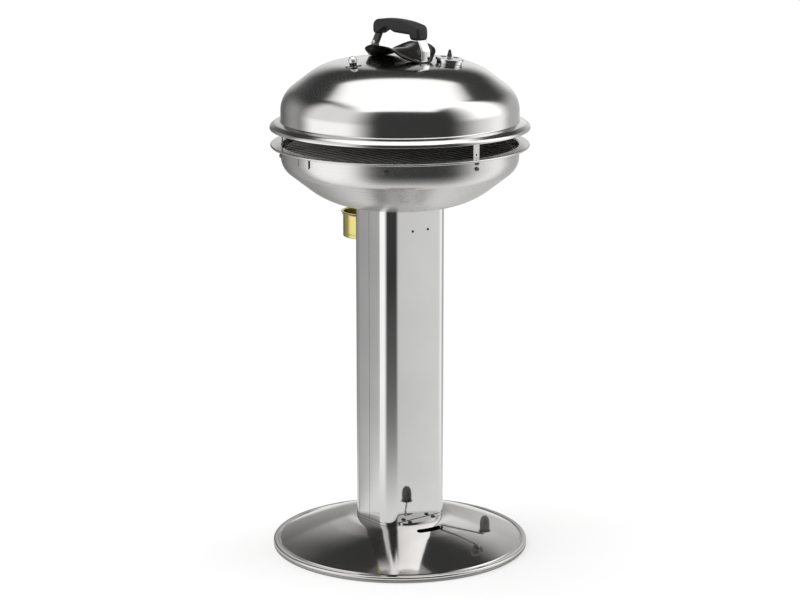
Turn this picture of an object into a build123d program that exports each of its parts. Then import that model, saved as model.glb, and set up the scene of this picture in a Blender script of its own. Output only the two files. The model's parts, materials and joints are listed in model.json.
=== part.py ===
"""Pedestal charcoal grill with a lifting lid, built in millimetres.

Origin: centre of the base on the floor.  +Z up, -Y front (lever side), +X right.
"""
import os
from math import asin, atan2, cos, degrees, pi, radians, sin, sqrt, tan

from build123d import *

os.makedirs("parts", exist_ok=True)

# Sheet thicknesses and clearances
SHEET = 1.2
PLATE = 1.5
FIT = 0.1
RUN = 0.06
GAP = 0.3

# Base dish and floor ring
BASE_R = 251.5
BASE_TOP_R = 97.0
BASE_TOP_Z = 60.0
BASE_RIM_W = 14.5
BASE_SKIRT_Z = 12.5
BASE_BULGE = 3.0
BASE_LEDGE_Z = 12.0
BASE_LIP_Z = 6.2
RING_H = 5.2
RING_W = 11.0
NOTCH_W = 60.0
NOTCH_H = 3.0

# Air damper and its lever
AIR_HOLES = 6
AIR_HOLE_R = 9.0
AIR_CIRCLE_R = 33.0
DAMPER_R = 48.0
PIVOT_R = 3.0
LEVER_WIRE_R = 2.2
LEVER_ANGLE = 5.7
LEVER_SWING = 24.0
LEVER_SLOT_R = 113.0
LEVER_SLOT_W = 12.0
LEVER_TIP = (68.0, -180.0)
TIP_R = 9.5
TIP_H = 30.0
TIP_Z = 55.0

# Column
COLUMN_W = 152.0
COLUMN_D = 116.0
COLUMN_CORNER = 26.0
COLUMN_H = 621.5
SEAM = 0.8
SEAM_STRIP_W = 18.0
FOOT_PLATE = 2.5
FOOT_TAB_W = 94.0
FOOT_TAB_L = 22.0
FOOT_BOLT_X = 29.0
FOOT_BOLT_OUT = 10.3
COLLAR_H = 58.0
COLLAR_RIVET_X = 18.5
COLLAR_RIVET_SHIFT = 4.0
RIVET_R = 1.6
RIVET_HEAD_R = 2.6
COLLAR_RIVET_DROP = 44.0

# Bowl
WALL_R = 229.0
BOWL_DEPTH = 119.5
BOWL_HOLE_R = 46.0
BOWL_SLOPE = 38.0
BOWL_CORNER_H = 76.0
BOWL_FLOOR_ARC = 165.0
BOWL_SHOULDER = 38.0
BOWL_BEAD_R = 2.35
BOWL_FLANGE_W = 20.0
BOWL_BOLT = (52.0, 33.0)
DRAIN_Y = 80.0
DRAIN_R = 5.0
SPOUT_R = 7.0
SPOUT_H = 20.0

# Lid
LID_GAP = 29.2
LID_FLANGE_W = 21.0
LID_LIP = 9.6
LID_FLANGE_FALL = 5.2
LID_WALL_H = 46.3
LID_SLOPE = 38.0
LID_SHOULDER = 55.0
LID_CROWN_ARC = 126.0
LID_CROWN_R = 850.0
LID_H = 134.8
LID_HEM_R = 1.1

# Lid brackets, grate bolts and accessory loops on the bowl wall
BRACKET_ANGLES = (270.0, 150.0, 30.0)
BRACKET_NAMES = ("front", "left", "right")
BRACKET_W = 14.0
BRACKET_REACH = 14.0
BRACKET_SCREW_DROPS = (9.5, 20.5)
BRACKET_SPARE_RISE = 5.5
BRACKET_HEAD_R = 4.0
BRACKET_HEAD_H = 4.0
GRATE_BOLT_ANGLES = (105.0, 225.0, 345.0)
GRATE_BOLT_DROP = 18.5
LOOP_W = 30.0
LOOP_H = 19.0
LOOP_DROP = 16.5
LOOP_OUT = 0.1
LOOP_SLIT_W = 3.6

# Grates
COOK_RING_IN = 15.0
COAL_RING_IN = 79.0
RING_WIRE_R = 3.0
BAR_R = 2.0
BAR_PITCH = 16.0
CROSS_BAR_Y = 78.0
WELD = 0.9

# Grease cup and its fork hanger
CUP_R = 45.0
CUP_LIP = 4.0
CUP_H = 51.0
CUP_DROP = 29.0
FORK_W = 49.0
FORK_L = 64.0
HANGER_W = 60.0
HANGER_H = 24.0

# Handle on the lid
FOOT_R = 66.0
LEG_R = 77.6
LEG_H = 14.0
STRAP_W = 20.0
STRAP_T = 2.0
STRAP_IN = 13.1
STRAP_RISE = 23.0
TANG = 15.0
HANDLE_BOLT_R = 3.0
HANDLE_HEAD_R = 5.5
HANDLE_NUT_W = 10.0
HANDLE_NUT_H = 4.5
GRIP_W = 28.0
GRIP_L = 141.0
GRIP_H = 35.5
GRIP_BASE = 37.5
GRIP_CORNER = 9.0
SHIELD_T = 1.2
SHIELD_RISE = 19.0
SHIELD_FLAT = 12.0

# Lid vent and lid hook
VENT_ANGLE = -60.0
VENT_PLACE_R = 100.0
VENT_R = 27.0
VENT_SEAT_R = 24.5
VENT_H = 10.0
VENT_RIM_H = 4.5
VENT_TAB_H = 12.5
VENT_HOLE_R = 6.0
VENT_CIRCLE_R = 13.5
VENT_TAB_TURN = 21.6
HOOK_ANGLE = 180.0
HOOK_PLACE_R = 112.0
HOOK_WASHER_R = 15.5
HOOK_SEAL_R = 7.4
HOOK_SEAL_H = 7.0
HOOK_NUT_R = 8.5
HOOK_NUT_H = 11.5

# Stacked levels
COLUMN_Z = BASE_TOP_Z + FOOT_PLATE
BOWL_Z = COLUMN_Z + COLUMN_H
RIM_Z = BOWL_Z + BOWL_DEPTH
LIP_Z = RIM_Z + LID_GAP
LID_FOOT_Z = LIP_Z + LID_LIP + LID_FLANGE_FALL
LID_TOP_Z = LIP_Z + LID_H
WALL_IN = WALL_R - SHEET

# Radii that follow from the ones above
BASE_SKIRT_R = BASE_R - BASE_RIM_W
BOWL_FLANGE_R = WALL_R + BOWL_FLANGE_W
LID_FLANGE_R = WALL_R + LID_FLANGE_W
COOK_RING_R = WALL_R - COOK_RING_IN
COAL_RING_R = WALL_R - COAL_RING_IN


def save(name, shape):
    """Write one sub-part, every solid of it in one file."""
    solids = shape.solids()
    export_step(solids[0] if len(solids) == 1 else Compound(solids), f"parts/{name}.step")


def group(items):
    """Several like pieces kept as one sub-part."""
    return Compound([solid for item in items for solid in item.solids()])


def turned(face, arc=360.0):
    """Profile drawn as (radius, height), turned about the upright axis."""
    return revolve(Plane.XZ * face, Axis.Z, arc)


def sheet_face(path, thickness, side):
    """Sheet-metal section: a path thickened to one side."""
    return make_face(path.offset_2d(thickness, side=side, closed=True))


def bead(x, y, radius):
    """Small round blank for a bead or hem in a section."""
    return Pos(x, y) * Circle(radius)


def rod(radius, start, end):
    """Round bar between two heights on the local upright axis."""
    return Pos(0, 0, (start + end) / 2) * Cylinder(radius, end - start)


def hex_nut(bore, flats, start, end):
    """Hexagon nut between two heights on the local upright axis."""
    blank = RegularPolygon(flats / 2, 6, major_radius=False) - Circle(bore)
    return Pos(0, 0, start) * extrude(blank, end - start)


def radial(angle, z):
    """Local frame with its axis pointing outwards at one angle and height."""
    a = radians(angle)
    return Plane((0, 0, z), x_dir=(-sin(a), cos(a), 0), z_dir=(cos(a), sin(a), 0))


def crown_z(rho):
    """Height of the lid's crown at one radius."""
    return LID_TOP_Z - LID_CROWN_R + sqrt(LID_CROWN_R**2 - rho**2)


def crown(angle, rho):
    """Local frame on the crown: axis along the outward normal, +Y towards the centre."""
    a = radians(angle)
    tilt = asin(rho / LID_CROWN_R)
    normal = (sin(tilt) * cos(a), sin(tilt) * sin(a), cos(tilt))
    origin = (rho * cos(a), rho * sin(a), crown_z(rho))
    return Plane(origin, x_dir=(-sin(a), cos(a), 0), z_dir=normal)


def rounded(width, depth, corner, inset=0.0):
    """Rounded rectangle, moved in evenly by an inset."""
    return RectangleRounded(width - 2 * inset, depth - 2 * inset, corner - inset)


# Base dish: a shallow pressed cone with a flat top, a step and a turned-down lip
chord = Vector(BASE_SKIRT_R - BASE_TOP_R, BASE_SKIRT_Z - BASE_TOP_Z)
across = Vector(-chord.Y, chord.X).normalized()
middle = Vector((BASE_SKIRT_R + BASE_TOP_R) / 2, (BASE_SKIRT_Z + BASE_TOP_Z) / 2) + across * BASE_BULGE
dish_edges = [Line((0, BASE_TOP_Z), (0, BASE_TOP_Z - SHEET)).edge()]
for drop in (0, SHEET):
    knee = (BASE_TOP_R, BASE_TOP_Z - drop)
    skirt_end = (BASE_SKIRT_R, BASE_SKIRT_Z - drop)
    dish_edges.append(Line((0, BASE_TOP_Z - drop), knee).edge())
    dish_edges.append(Spline(knee, (middle.X, middle.Y - drop), skirt_end).edge())
dish_edges.append(Line((BASE_SKIRT_R, BASE_SKIRT_Z), (BASE_SKIRT_R, BASE_SKIRT_Z - SHEET)).edge())
groove_z = BASE_SKIRT_Z - 2.4
rim = FilletPolyline(
    (BASE_SKIRT_R, BASE_SKIRT_Z),
    (BASE_SKIRT_R + 1.6, groove_z),
    (BASE_SKIRT_R + 3.6, groove_z),
    (BASE_SKIRT_R + 5.2, BASE_LEDGE_Z),
    (BASE_R, BASE_LEDGE_Z),
    (BASE_R, BASE_LIP_Z),
    radius=[0.6, 0.6, 1.0, 4.0],
)
base = turned(make_face(dish_edges) + sheet_face(rim, SHEET, Side.RIGHT))
base_under = BASE_TOP_Z - SHEET
hole_step = 360 / AIR_HOLES
air_ring = PolarLocations(AIR_CIRCLE_R, AIR_HOLES, start_angle=hole_step / 2)
base -= air_ring * rod(AIR_HOLE_R, 0, BASE_TOP_Z + 1)
base -= rod(PIVOT_R + FIT, 0, BASE_TOP_Z + 1)
slot_start = -90 + LEVER_ANGLE - LEVER_SWING
slot_blank = Pos(LEVER_SLOT_R, BASE_TOP_Z / 2) * Rectangle(LEVER_SLOT_W, BASE_TOP_Z)
base -= Rot(0, 0, slot_start) * turned(slot_blank, LEVER_SWING)
slot_end = Pos(LEVER_SLOT_R, 0, 0) * rod(LEVER_SLOT_W / 2, 0, BASE_TOP_Z)
base -= [Rot(0, 0, slot_start + turn) * slot_end for turn in (0, LEVER_SWING)]
foot_y = COLUMN_D / 2 + FOOT_BOLT_OUT
foot_spots = [(x, y) for x in (-FOOT_BOLT_X, FOOT_BOLT_X) for y in (-foot_y, foot_y)]
foot_places = Locations(*foot_spots)
base -= foot_places * rod(2.5 + FIT, 0, BASE_TOP_Z + 1)
save("base_shell", base)

# Floor ring under the lip, notched at the back to let air in
ring_blank = Pos(BASE_R - 0.4 - RING_W / 2, RING_H / 2) * RectangleRounded(RING_W, RING_H, 1.2)
floor_ring = turned(ring_blank)
post_h = groove_z - SHEET - FIT - RING_H / 2
floor_ring += turned(Pos(BASE_R - 6.4, RING_H / 2 + post_h / 2) * Rectangle(2.4, post_h))
for angle in (50, 90, 130):
    cutter = Rot(0, 0, angle) * Pos(BASE_R - RING_W / 2, 0, 0) * Box(3 * RING_W, NOTCH_W, 2 * NOTCH_H)
    floor_ring -= cutter
save("base_floor_ring", floor_ring)

# Damper disc hung under the flat top, with the same ring of holes
disc_top = base_under - GAP
disc_low = disc_top - PLATE
damper = rod(DAMPER_R, disc_low, disc_top)
damper -= air_ring * rod(AIR_HOLE_R, disc_low - 1, disc_top + 1)
damper -= rod(PIVOT_R + RUN, disc_low - 1, disc_top + 1)
lever_turn = Rot(0, 0, LEVER_ANGLE)
rivet_places = [lever_turn * Pos(0, -rho, 0) for rho in (16.0, 22.0)]
damper -= [place * rod(1.5 + FIT / 2, disc_low - 1, disc_top + 1) for place in rivet_places]
save("damper_disc", damper)

# Pivot bolt and its nut
pivot = rod(PIVOT_R, disc_low - 7, BASE_TOP_Z) + rod(7, BASE_TOP_Z, BASE_TOP_Z + 2.5)
save("damper_pivot", pivot)
save("damper_pivot_nut", hex_nut(PIVOT_R + FIT / 2, 10, disc_low - GAP - 5, disc_low - GAP))

# Lever: a flat paddle under the disc, then a bent wire out through the slot to the tip
paddle = Pos(0, -(12 + DAMPER_R) / 2, disc_low - PLATE / 2) * Box(11, DAMPER_R - 12, PLATE)
wire_z = disc_low - PLATE - LEVER_WIRE_R + WELD
low_z = wire_z - 8.5
out_z = BASE_TOP_Z + 1.0
tip_x, tip_y = LEVER_TIP
turn = radians(LEVER_ANGLE)
hand = Vector(tip_x * cos(turn) + tip_y * sin(turn), tip_y * cos(turn) - tip_x * sin(turn))
wire_path = FilletPolyline(
    (0, -27, wire_z),
    (0, -DAMPER_R, wire_z),
    (0, -DAMPER_R - 10, low_z),
    (0, -LEVER_SLOT_R, low_z),
    (0, -LEVER_SLOT_R, out_z),
    (hand.X, hand.Y, TIP_Z - 7.5),
    (hand.X, hand.Y, TIP_Z + TIP_H * 0.6),
    radius=[5, 5, 5, 4, 4.2],
)
wire_start = Plane(wire_path @ 0, z_dir=wire_path % 0)
lever = paddle + sweep(wire_start * Circle(LEVER_WIRE_R), path=wire_path)
lever -= [Pos(0, -rho, 0) * rod(1.5 + FIT / 2, 0, disc_top) for rho in (16.0, 22.0)]
save("damper_lever", lever_turn * lever)
rivet_low = disc_low - PLATE - 1.2
lever_rivet = rod(1.5, rivet_low, disc_top) + rod(2.6, rivet_low, disc_low - PLATE)
save("lever_rivets", group([place * lever_rivet for place in rivet_places]))
tip_path = Polyline((0, 0), (TIP_R, 0), (TIP_R, TIP_H - 14))
tip_dome = Spline(
    (TIP_R, TIP_H - 14), (TIP_R * 0.76, TIP_H - 5), (0, TIP_H), tangents=[(0, 1), (-1, 0)]
)
tip_face = make_face([*tip_path.edges(), tip_dome.edge(), Line((0, TIP_H), (0, 0)).edge()])
tip = turned(tip_face) - rod(LEVER_WIRE_R + FIT / 2, -1, TIP_H * 0.6 + 0.5)
save("lever_tip", Pos(tip_x, tip_y, TIP_Z) * tip)
tip_washer = rod(12, -1.2, 0) - rod(LEVER_WIRE_R + FIT, -2, 1)
save("lever_washer", Pos(tip_x, tip_y, TIP_Z) * tip_washer)

# Foot plate under the column, with a tab front and back, bolted to the base
tab = Ellipse(FOOT_TAB_W / 2, FOOT_TAB_L)
foot_face = rounded(COLUMN_W, COLUMN_D, COLUMN_CORNER)
foot_face += Pos(0, COLUMN_D / 2) * tab
foot_face += Pos(0, -COLUMN_D / 2) * tab
foot_face -= Circle(DAMPER_R - 1)
foot_face -= foot_places * SlotOverall(9.5, 5.4)
save("column_foot_plate", Pos(0, 0, BASE_TOP_Z) * extrude(foot_face, FOOT_PLATE))
foot_bolt = rod(2.5, base_under - 6, COLUMN_Z) + rod(4.4, COLUMN_Z, COLUMN_Z + 2.2)
save("foot_bolts", group([Pos(x, y, 0) * foot_bolt for x, y in foot_spots]))
foot_nut = hex_nut(2.5 + FIT / 2, 8, base_under - 4, base_under)
save("foot_nuts", group([Pos(x, y, 0) * foot_nut for x, y in foot_spots]))

# Column: a front and a back half shell, joined over an inner strip at each side
tube = rounded(COLUMN_W, COLUMN_D, COLUMN_CORNER) - rounded(COLUMN_W, COLUMN_D, COLUMN_CORNER, SHEET)
half_cut = Pos(0, COLUMN_D / 2 + SEAM / 2) * Rectangle(COLUMN_W + 2, COLUMN_D)
rivet_z = BOWL_Z - COLLAR_RIVET_DROP
rivet_spots = [(COLLAR_RIVET_SHIFT + x, rivet_z) for x in (-COLLAR_RIVET_X, COLLAR_RIVET_X)]
rivet_rows = [Plane.XZ * Pos(x, z, 0) for x, z in rivet_spots]
rivet_bore = [row * Cylinder(RIVET_R + FIT, 2 * COLUMN_D) for row in rivet_rows]
back_shell = Pos(0, 0, COLUMN_Z) * extrude(tube & half_cut, COLUMN_H)
front_shell = mirror(back_shell, Plane.XZ)
save("column_front_shell", front_shell - rivet_bore)
save("column_rear_shell", back_shell - rivet_bore)
strip_h = COLUMN_H - COLLAR_H - 20
strip = Pos(COLUMN_W / 2 - 1.5 * SHEET, 0, COLUMN_Z + 8 + strip_h / 2) * Box(SHEET, SEAM_STRIP_W, strip_h)
save("column_seam_strips", group([strip, mirror(strip, Plane.YZ)]))

# Collar inside the top of the column; its flange carries the bowl
collar_in = SHEET + FIT
collar_skin = rounded(COLUMN_W, COLUMN_D, COLUMN_CORNER, collar_in)
collar_core = rounded(COLUMN_W, COLUMN_D, COLUMN_CORNER, collar_in + PLATE)
collar = Pos(0, 0, BOWL_Z - COLLAR_H) * extrude(collar_skin - collar_core, COLLAR_H)
collar += Pos(0, 0, BOWL_Z - PLATE) * extrude(collar_skin - Circle(BOWL_HOLE_R + 2), PLATE)
bolt_x, bolt_y = BOWL_BOLT
bowl_bolt_spots = [(x, y) for x in (-bolt_x, bolt_x) for y in (-bolt_y, bolt_y)]
bowl_bolt_places = Locations(*bowl_bolt_spots)
collar -= bowl_bolt_places * rod(3 + FIT, BOWL_Z - 5, BOWL_Z + 5)
save("column_collar", collar - rivet_bore)

# Rivets through the column and collar; the back pair also holds the cup hanger
column_face = COLUMN_D / 2
collar_face = column_face - collar_in - PLATE


def collar_rivet(grip_face):
    """Domed rivet lying along +Y, head outside, tail inside the collar."""
    shank = rod(RIVET_R, collar_face - 1.5, grip_face)
    tail = rod(RIVET_HEAD_R, collar_face - 1.5, collar_face)
    head = rod(RIVET_HEAD_R, grip_face, grip_face + 1.2)
    return Rot(-90, 0, 0) * (shank + tail + head)


front_rivets = [Pos(x, 0, z) * Rot(0, 0, 180) * collar_rivet(column_face) for x, z in rivet_spots]
back_rivets = [Pos(x, 0, z) * collar_rivet(column_face + PLATE) for x, z in rivet_spots]
save("column_rivets", group(front_rivets + back_rivets))

# Bowl: flat floor with a flue hole, sloped side, upright band and a beaded flange
corner_run = BOWL_CORNER_H / tan(radians(BOWL_SLOPE))
bowl_path = FilletPolyline(
    (BOWL_HOLE_R, BOWL_Z),
    (WALL_R - corner_run, BOWL_Z),
    (WALL_R, BOWL_Z + BOWL_CORNER_H),
    (WALL_R, RIM_Z - SHEET),
    (BOWL_FLANGE_R - BOWL_BEAD_R, RIM_Z - SHEET),
    radius=[BOWL_FLOOR_ARC, BOWL_SHOULDER, 2.0],
)
bowl_face = sheet_face(bowl_path, SHEET, Side.LEFT)
bowl_face += bead(BOWL_FLANGE_R - BOWL_BEAD_R, RIM_Z - BOWL_BEAD_R, BOWL_BEAD_R)
bowl = turned(bowl_face)
bowl -= bowl_bolt_places * rod(3 + FIT, BOWL_Z - 5, BOWL_Z + 5)
bowl -= Pos(0, DRAIN_Y, 0) * rod(SPOUT_R + FIT / 2, BOWL_Z - 5, BOWL_Z + 5)
screw_spots = [(a, RIM_Z - drop) for a in BRACKET_ANGLES for drop in BRACKET_SCREW_DROPS]
bowl -= [radial(a, z) * rod(2 + FIT, WALL_R - 9, WALL_R + 9) for a, z in screw_spots]
grate_z = RIM_Z - GRATE_BOLT_DROP
bowl -= [radial(a, grate_z) * rod(2.5 + FIT, WALL_R - 9, WALL_R + 9) for a in GRATE_BOLT_ANGLES]
loop_z = RIM_Z - LOOP_DROP
loop_window = Box(LOOP_W + 2 * LOOP_SLIT_W + 2 * GAP, LOOP_H - 4, 12)
bowl -= [radial(angle, loop_z) * Pos(0, 0, WALL_R) * loop_window for angle in (0, 180)]
save("bowl_shell", bowl)

# Bolts that hold the bowl on the collar
bowl_bolt = rod(3, BOWL_Z - PLATE - 8, BOWL_Z + SHEET)
bowl_bolt += rod(6.5, BOWL_Z + SHEET, BOWL_Z + SHEET + 3)
save("bowl_bolts", group([Pos(x, y, 0) * bowl_bolt for x, y in bowl_bolt_spots]))
bowl_nut = hex_nut(3 + FIT / 2, 10, BOWL_Z - PLATE - 5, BOWL_Z - PLATE)
save("bowl_nuts", group([Pos(x, y, 0) * bowl_nut for x, y in bowl_bolt_spots]))

# Drain spout through the bowl floor, over the grease cup
spout = rod(SPOUT_R, BOWL_Z - SPOUT_H, BOWL_Z + 2 * SHEET)
spout -= rod(DRAIN_R, BOWL_Z - SPOUT_H - 1, BOWL_Z + 3 * SHEET)
save("drain_spout", Pos(0, DRAIN_Y, 0) * spout)

# Lid brackets: strips screwed inside the bowl, bent out under the lid's flange
shelf_rho = WALL_IN - 0.2 + BRACKET_REACH
flange_tilt = LID_FLANGE_FALL / (LID_FLANGE_R - WALL_R)
flange_under = LID_FOOT_Z - (shelf_rho - WALL_R) * flange_tilt - SHEET * sqrt(1 + flange_tilt**2)
shelf_z = flange_under - GAP - PLATE
bracket_path = FilletPolyline(
    (WALL_IN - 0.2, RIM_Z - BRACKET_SCREW_DROPS[1] - 5),
    (WALL_IN - 0.2, shelf_z),
    (shelf_rho, shelf_z),
    radius=[2.2],
)
bracket_face = sheet_face(bracket_path, PLATE, Side.LEFT)
bracket = extrude(Plane.XZ * bracket_face, BRACKET_W / 2, both=True)
for drop in BRACKET_SCREW_DROPS:
    bracket -= radial(0, RIM_Z - drop) * rod(2 + FIT, WALL_IN - 9, WALL_IN + 1)
bracket -= radial(0, RIM_Z + BRACKET_SPARE_RISE) * rod(2, WALL_IN - 9, WALL_IN + 1)
for name, angle in zip(BRACKET_NAMES, BRACKET_ANGLES):
    save(f"lid_bracket_{name}", Rot(0, 0, angle) * bracket)
bracket_face_rho = WALL_IN - 0.2 - PLATE
bracket_screw = rod(2, bracket_face_rho - 5, WALL_R)
bracket_screw += rod(BRACKET_HEAD_R, WALL_R, WALL_R + BRACKET_HEAD_H)
save("bracket_screws", group([radial(a, z) * bracket_screw for a, z in screw_spots]))
bracket_nut = hex_nut(2 + FIT / 2, 7, bracket_face_rho - 3.2, bracket_face_rho)
save("bracket_nuts", group([radial(a, z) * bracket_nut for a, z in screw_spots]))

# Long bolts through the bowl wall that the cooking grate rests on
head_rho = COOK_RING_R - RING_WIRE_R - 1.0
grate_bolt = rod(2.5, head_rho - 3.5, WALL_R + 5.5) + rod(4.5, head_rho - 3.5, head_rho)
save("grate_bolts", group([radial(a, grate_z) * grate_bolt for a in GRATE_BOLT_ANGLES]))
grate_nut = hex_nut(2.5 + FIT / 2, 8, WALL_R + 0.05, WALL_R + 4)
grate_nut += hex_nut(2.5 + FIT / 2, 8, WALL_IN - 4.2, WALL_IN - 0.2)
save("grate_nuts", group([radial(a, grate_z) * grate_nut for a in GRATE_BOLT_ANGLES]))

# Straps over a window on both sides of the bowl, for hanging accessories
loop_rho = WALL_R + LOOP_OUT
loop_face = Pos(loop_rho + SHEET / 2, loop_z) * Rectangle(SHEET, LOOP_H)
for side in (-1, 1):
    edge_z = loop_z + side * (LOOP_H - SHEET) / 2
    loop_face += Pos((WALL_R + loop_rho + SHEET) / 2, edge_z) * Rectangle(LOOP_OUT + SHEET, SHEET)
loop_arc = 2 * degrees(asin(LOOP_W / 2 / WALL_R))
loop = Rot(0, 0, -loop_arc / 2) * turned(loop_face, loop_arc)
save("accessory_loop_right", loop)
save("accessory_loop_left", Rot(0, 0, 180) * loop)


def grate(ring_r, ring_z, bar_r, cross_y):
    """Round wire grate: a ring, a row of bars on top and two cross bars."""
    bar_z = ring_z + RING_WIRE_R + bar_r - WELD
    frame = Pos(0, 0, ring_z) * Torus(ring_r, RING_WIRE_R)
    count = int((ring_r - 6) / BAR_PITCH)
    bars = []
    for i in range(-count, count + 1):
        x = i * BAR_PITCH
        half = sqrt(ring_r**2 - x**2)
        bars.append(Pos(x, 0, bar_z) * Rot(90, 0, 0) * Cylinder(bar_r, 2 * half))
    for y in (-cross_y, cross_y):
        half = sqrt(ring_r**2 - y**2)
        cross_z = bar_z - bar_r - bar_r + WELD
        bars.append(Pos(0, y, cross_z) * Rot(0, 90, 0) * Cylinder(bar_r, 2 * half))
    return frame + bars


# Cooking grate, resting on the three long bolts
cook_z = grate_z + 2.5 + RING_WIRE_R + GAP
save("cooking_grate", grate(COOK_RING_R, cook_z, BAR_R, CROSS_BAR_Y))

# Charcoal grate, lying on the curve of the bowl floor
floor_rho = WALL_R - corner_run - BOWL_FLOOR_ARC * tan(radians(BOWL_SLOPE) / 2)
seat_r = BOWL_FLOOR_ARC - SHEET - RING_WIRE_R - GAP
coal_z = BOWL_Z + BOWL_FLOOR_ARC - sqrt(seat_r**2 - (COAL_RING_R - floor_rho) ** 2)
save("charcoal_grate", grate(COAL_RING_R, coal_z, BAR_R + 0.4, COAL_RING_R * 0.4))

# Grease cup, hung by its lip on an open fork behind the column
cup_y = column_face + CUP_LIP + 1.0 + CUP_R
cup_top = BOWL_Z - CUP_DROP
cup_low = cup_top - CUP_H
cup_path = FilletPolyline(
    (0, cup_low),
    (CUP_R, cup_low),
    (CUP_R, cup_top - SHEET),
    (CUP_R + CUP_LIP, cup_top - SHEET),
    radius=[2.5, 0.8],
)
cup_face = sheet_face(cup_path, 1.0, Side.LEFT)
cup_face += bead(CUP_R + CUP_LIP - 1.0, cup_top - 1.0, 1.0)
save("grease_cup", Pos(0, cup_y, 0) * turned(cup_face))
fork_z = cup_top - SHEET - 0.8 - GAP - PLATE
slot_w = 2 * (CUP_R + 0.6)
fork_face = Pos(0, column_face + FORK_L / 2) * Rectangle(2 * FORK_W, FORK_L)
fork_face -= Pos(0, cup_y) * Circle(slot_w / 2)
fork_face -= Pos(0, cup_y + FORK_L / 2) * Rectangle(slot_w, FORK_L)
hanger = Pos(0, 0, fork_z) * extrude(fork_face, PLATE)
plate_y = column_face + PLATE / 2
hanger += Pos(0, plate_y, fork_z - HANGER_H / 2 + 0.01) * Box(HANGER_W, PLATE, HANGER_H + 0.02)
save("cup_hanger", hanger - rivet_bore)

# Lid: domed crown, sloped shoulder, upright wall and a sloping flange with a lip
shoulder_z = LID_FOOT_Z + LID_WALL_H
grade = tan(radians(LID_SLOPE))
crown_mid = LID_TOP_Z - LID_CROWN_R
reach = shoulder_z + WALL_R * grade - crown_mid
square = 1 + grade**2
meet = (reach * grade - sqrt((reach * grade) ** 2 - square * (reach**2 - LID_CROWN_R**2))) / square
meet_z = crown_z(meet)
crown_arc = ThreePointArc((0, LID_TOP_Z), (meet / 2, crown_z(meet / 2)), (meet, meet_z))
side_path = Polyline(
    (meet, meet_z),
    (WALL_R, shoulder_z),
    (WALL_R, LID_FOOT_Z),
    (LID_FLANGE_R, LID_FOOT_Z - LID_FLANGE_FALL),
    (LID_FLANGE_R, LIP_Z),
)
lid_path = Wire([crown_arc.edge(), *side_path.edges()])
bends = (
    (meet, meet_z, LID_CROWN_ARC),
    (WALL_R, shoulder_z, LID_SHOULDER),
    (WALL_R, LID_FOOT_Z, 2.5),
    (LID_FLANGE_R, LID_FOOT_Z - LID_FLANGE_FALL, 3.0),
)
for x, y, bend in bends:
    corner = lid_path.vertices().sort_by_distance((x, y, 0))[0]
    lid_path = lid_path.fillet_2d(bend, [corner])
lid_face = sheet_face(lid_path, SHEET, Side.RIGHT)
lid_face += bead(LID_FLANGE_R - LID_HEM_R, LIP_Z + LID_HEM_R, LID_HEM_R)
lid = turned(lid_face)
handle_frames = [crown(angle, FOOT_R) for angle in (90, 270)]
vent_frame = crown(VENT_ANGLE, VENT_PLACE_R)
hook_frame = crown(HOOK_ANGLE, HOOK_PLACE_R)
lid -= [frame * rod(HANDLE_BOLT_R + FIT, -9, 9) for frame in handle_frames]
vent_holes = [
    Rot(0, 0, VENT_TAB_TURN + 60 + 120 * i) * Pos(VENT_CIRCLE_R, 0, 0) * rod(VENT_HOLE_R, -9, VENT_H + 2)
    for i in range(3)
]
lid -= [vent_frame * hole for hole in vent_holes]
lid -= vent_frame * rod(2.5 + FIT, -9, 9)
lid -= hook_frame * rod(3 + FIT, -9, 9)
save("lid_shell", lid)

# Handle straps: foot on the crown, upright leg, slanted neck and a tang in the grip
foot_tilt = FOOT_R / sqrt(LID_CROWN_R**2 - FOOT_R**2)


def tangent_z(rho):
    """Height of the flat laid on the crown under each handle foot."""
    return crown_z(FOOT_R) + (FOOT_R - rho) * foot_tilt


foot_lift = FIT + SHIELD_T + FIT + STRAP_T / 2
leg_z = tangent_z(LEG_R) + foot_lift + LEG_H + 6
neck_z = leg_z + STRAP_RISE
tang_in = TANG * STRAP_IN / STRAP_RISE
strap_path = FilletPolyline(
    (FOOT_R - 10, tangent_z(FOOT_R - 10) + foot_lift),
    (LEG_R, tangent_z(LEG_R) + foot_lift),
    (LEG_R, leg_z),
    (LEG_R - STRAP_IN - tang_in, neck_z + TANG),
    radius=[3, 8],
)
strap_face = trace(strap_path, STRAP_T)
strap = extrude(Plane.YZ * strap_face, STRAP_W / 2, both=True)
strap_rear = strap - handle_frames[0] * rod(HANDLE_BOLT_R + FIT, -5, 12)
strap_front = mirror(strap_rear, Plane.XZ)
save("handle_strap_rear", strap_rear)
save("handle_strap_front", strap_front)

# Grip: an arched bar with end blocks and one notch on the underside
grip_z = crown_z(0) + GRIP_BASE
GRIP_OUTLINE = (
    (-0.5, 0.0, 5),
    (-0.482, 0.79, 12),
    (-0.248, 0.944, 180),
    (0.0, 1.0, 250),
    (0.248, 0.972, 180),
    (0.475, 0.845, 14),
    (0.5, 0.085, 6),
    (0.397, 0.085, 6),
    (0.21, 0.5, 4),
    (0.043, 0.282, 24),
    (-0.312, 0.268, 3),
    (-0.333, 0.0, 2.5),
)
grip_path = FilletPolyline(
    *[(along * GRIP_L, grip_z + up * GRIP_H) for along, up, bend in GRIP_OUTLINE],
    radius=[bend * GRIP_H / 35.5 for along, up, bend in GRIP_OUTLINE],
    close=True,
)
grip = extrude(Plane.YZ * make_face(grip_path), GRIP_W / 2, both=True)
plan = RectangleRounded(GRIP_W, GRIP_L + 1, GRIP_CORNER)
grip &= Pos(0, 0, grip_z - 5) * extrude(plan, 2 * GRIP_H)
save("handle_grip", grip - strap_rear - strap_front)

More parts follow.
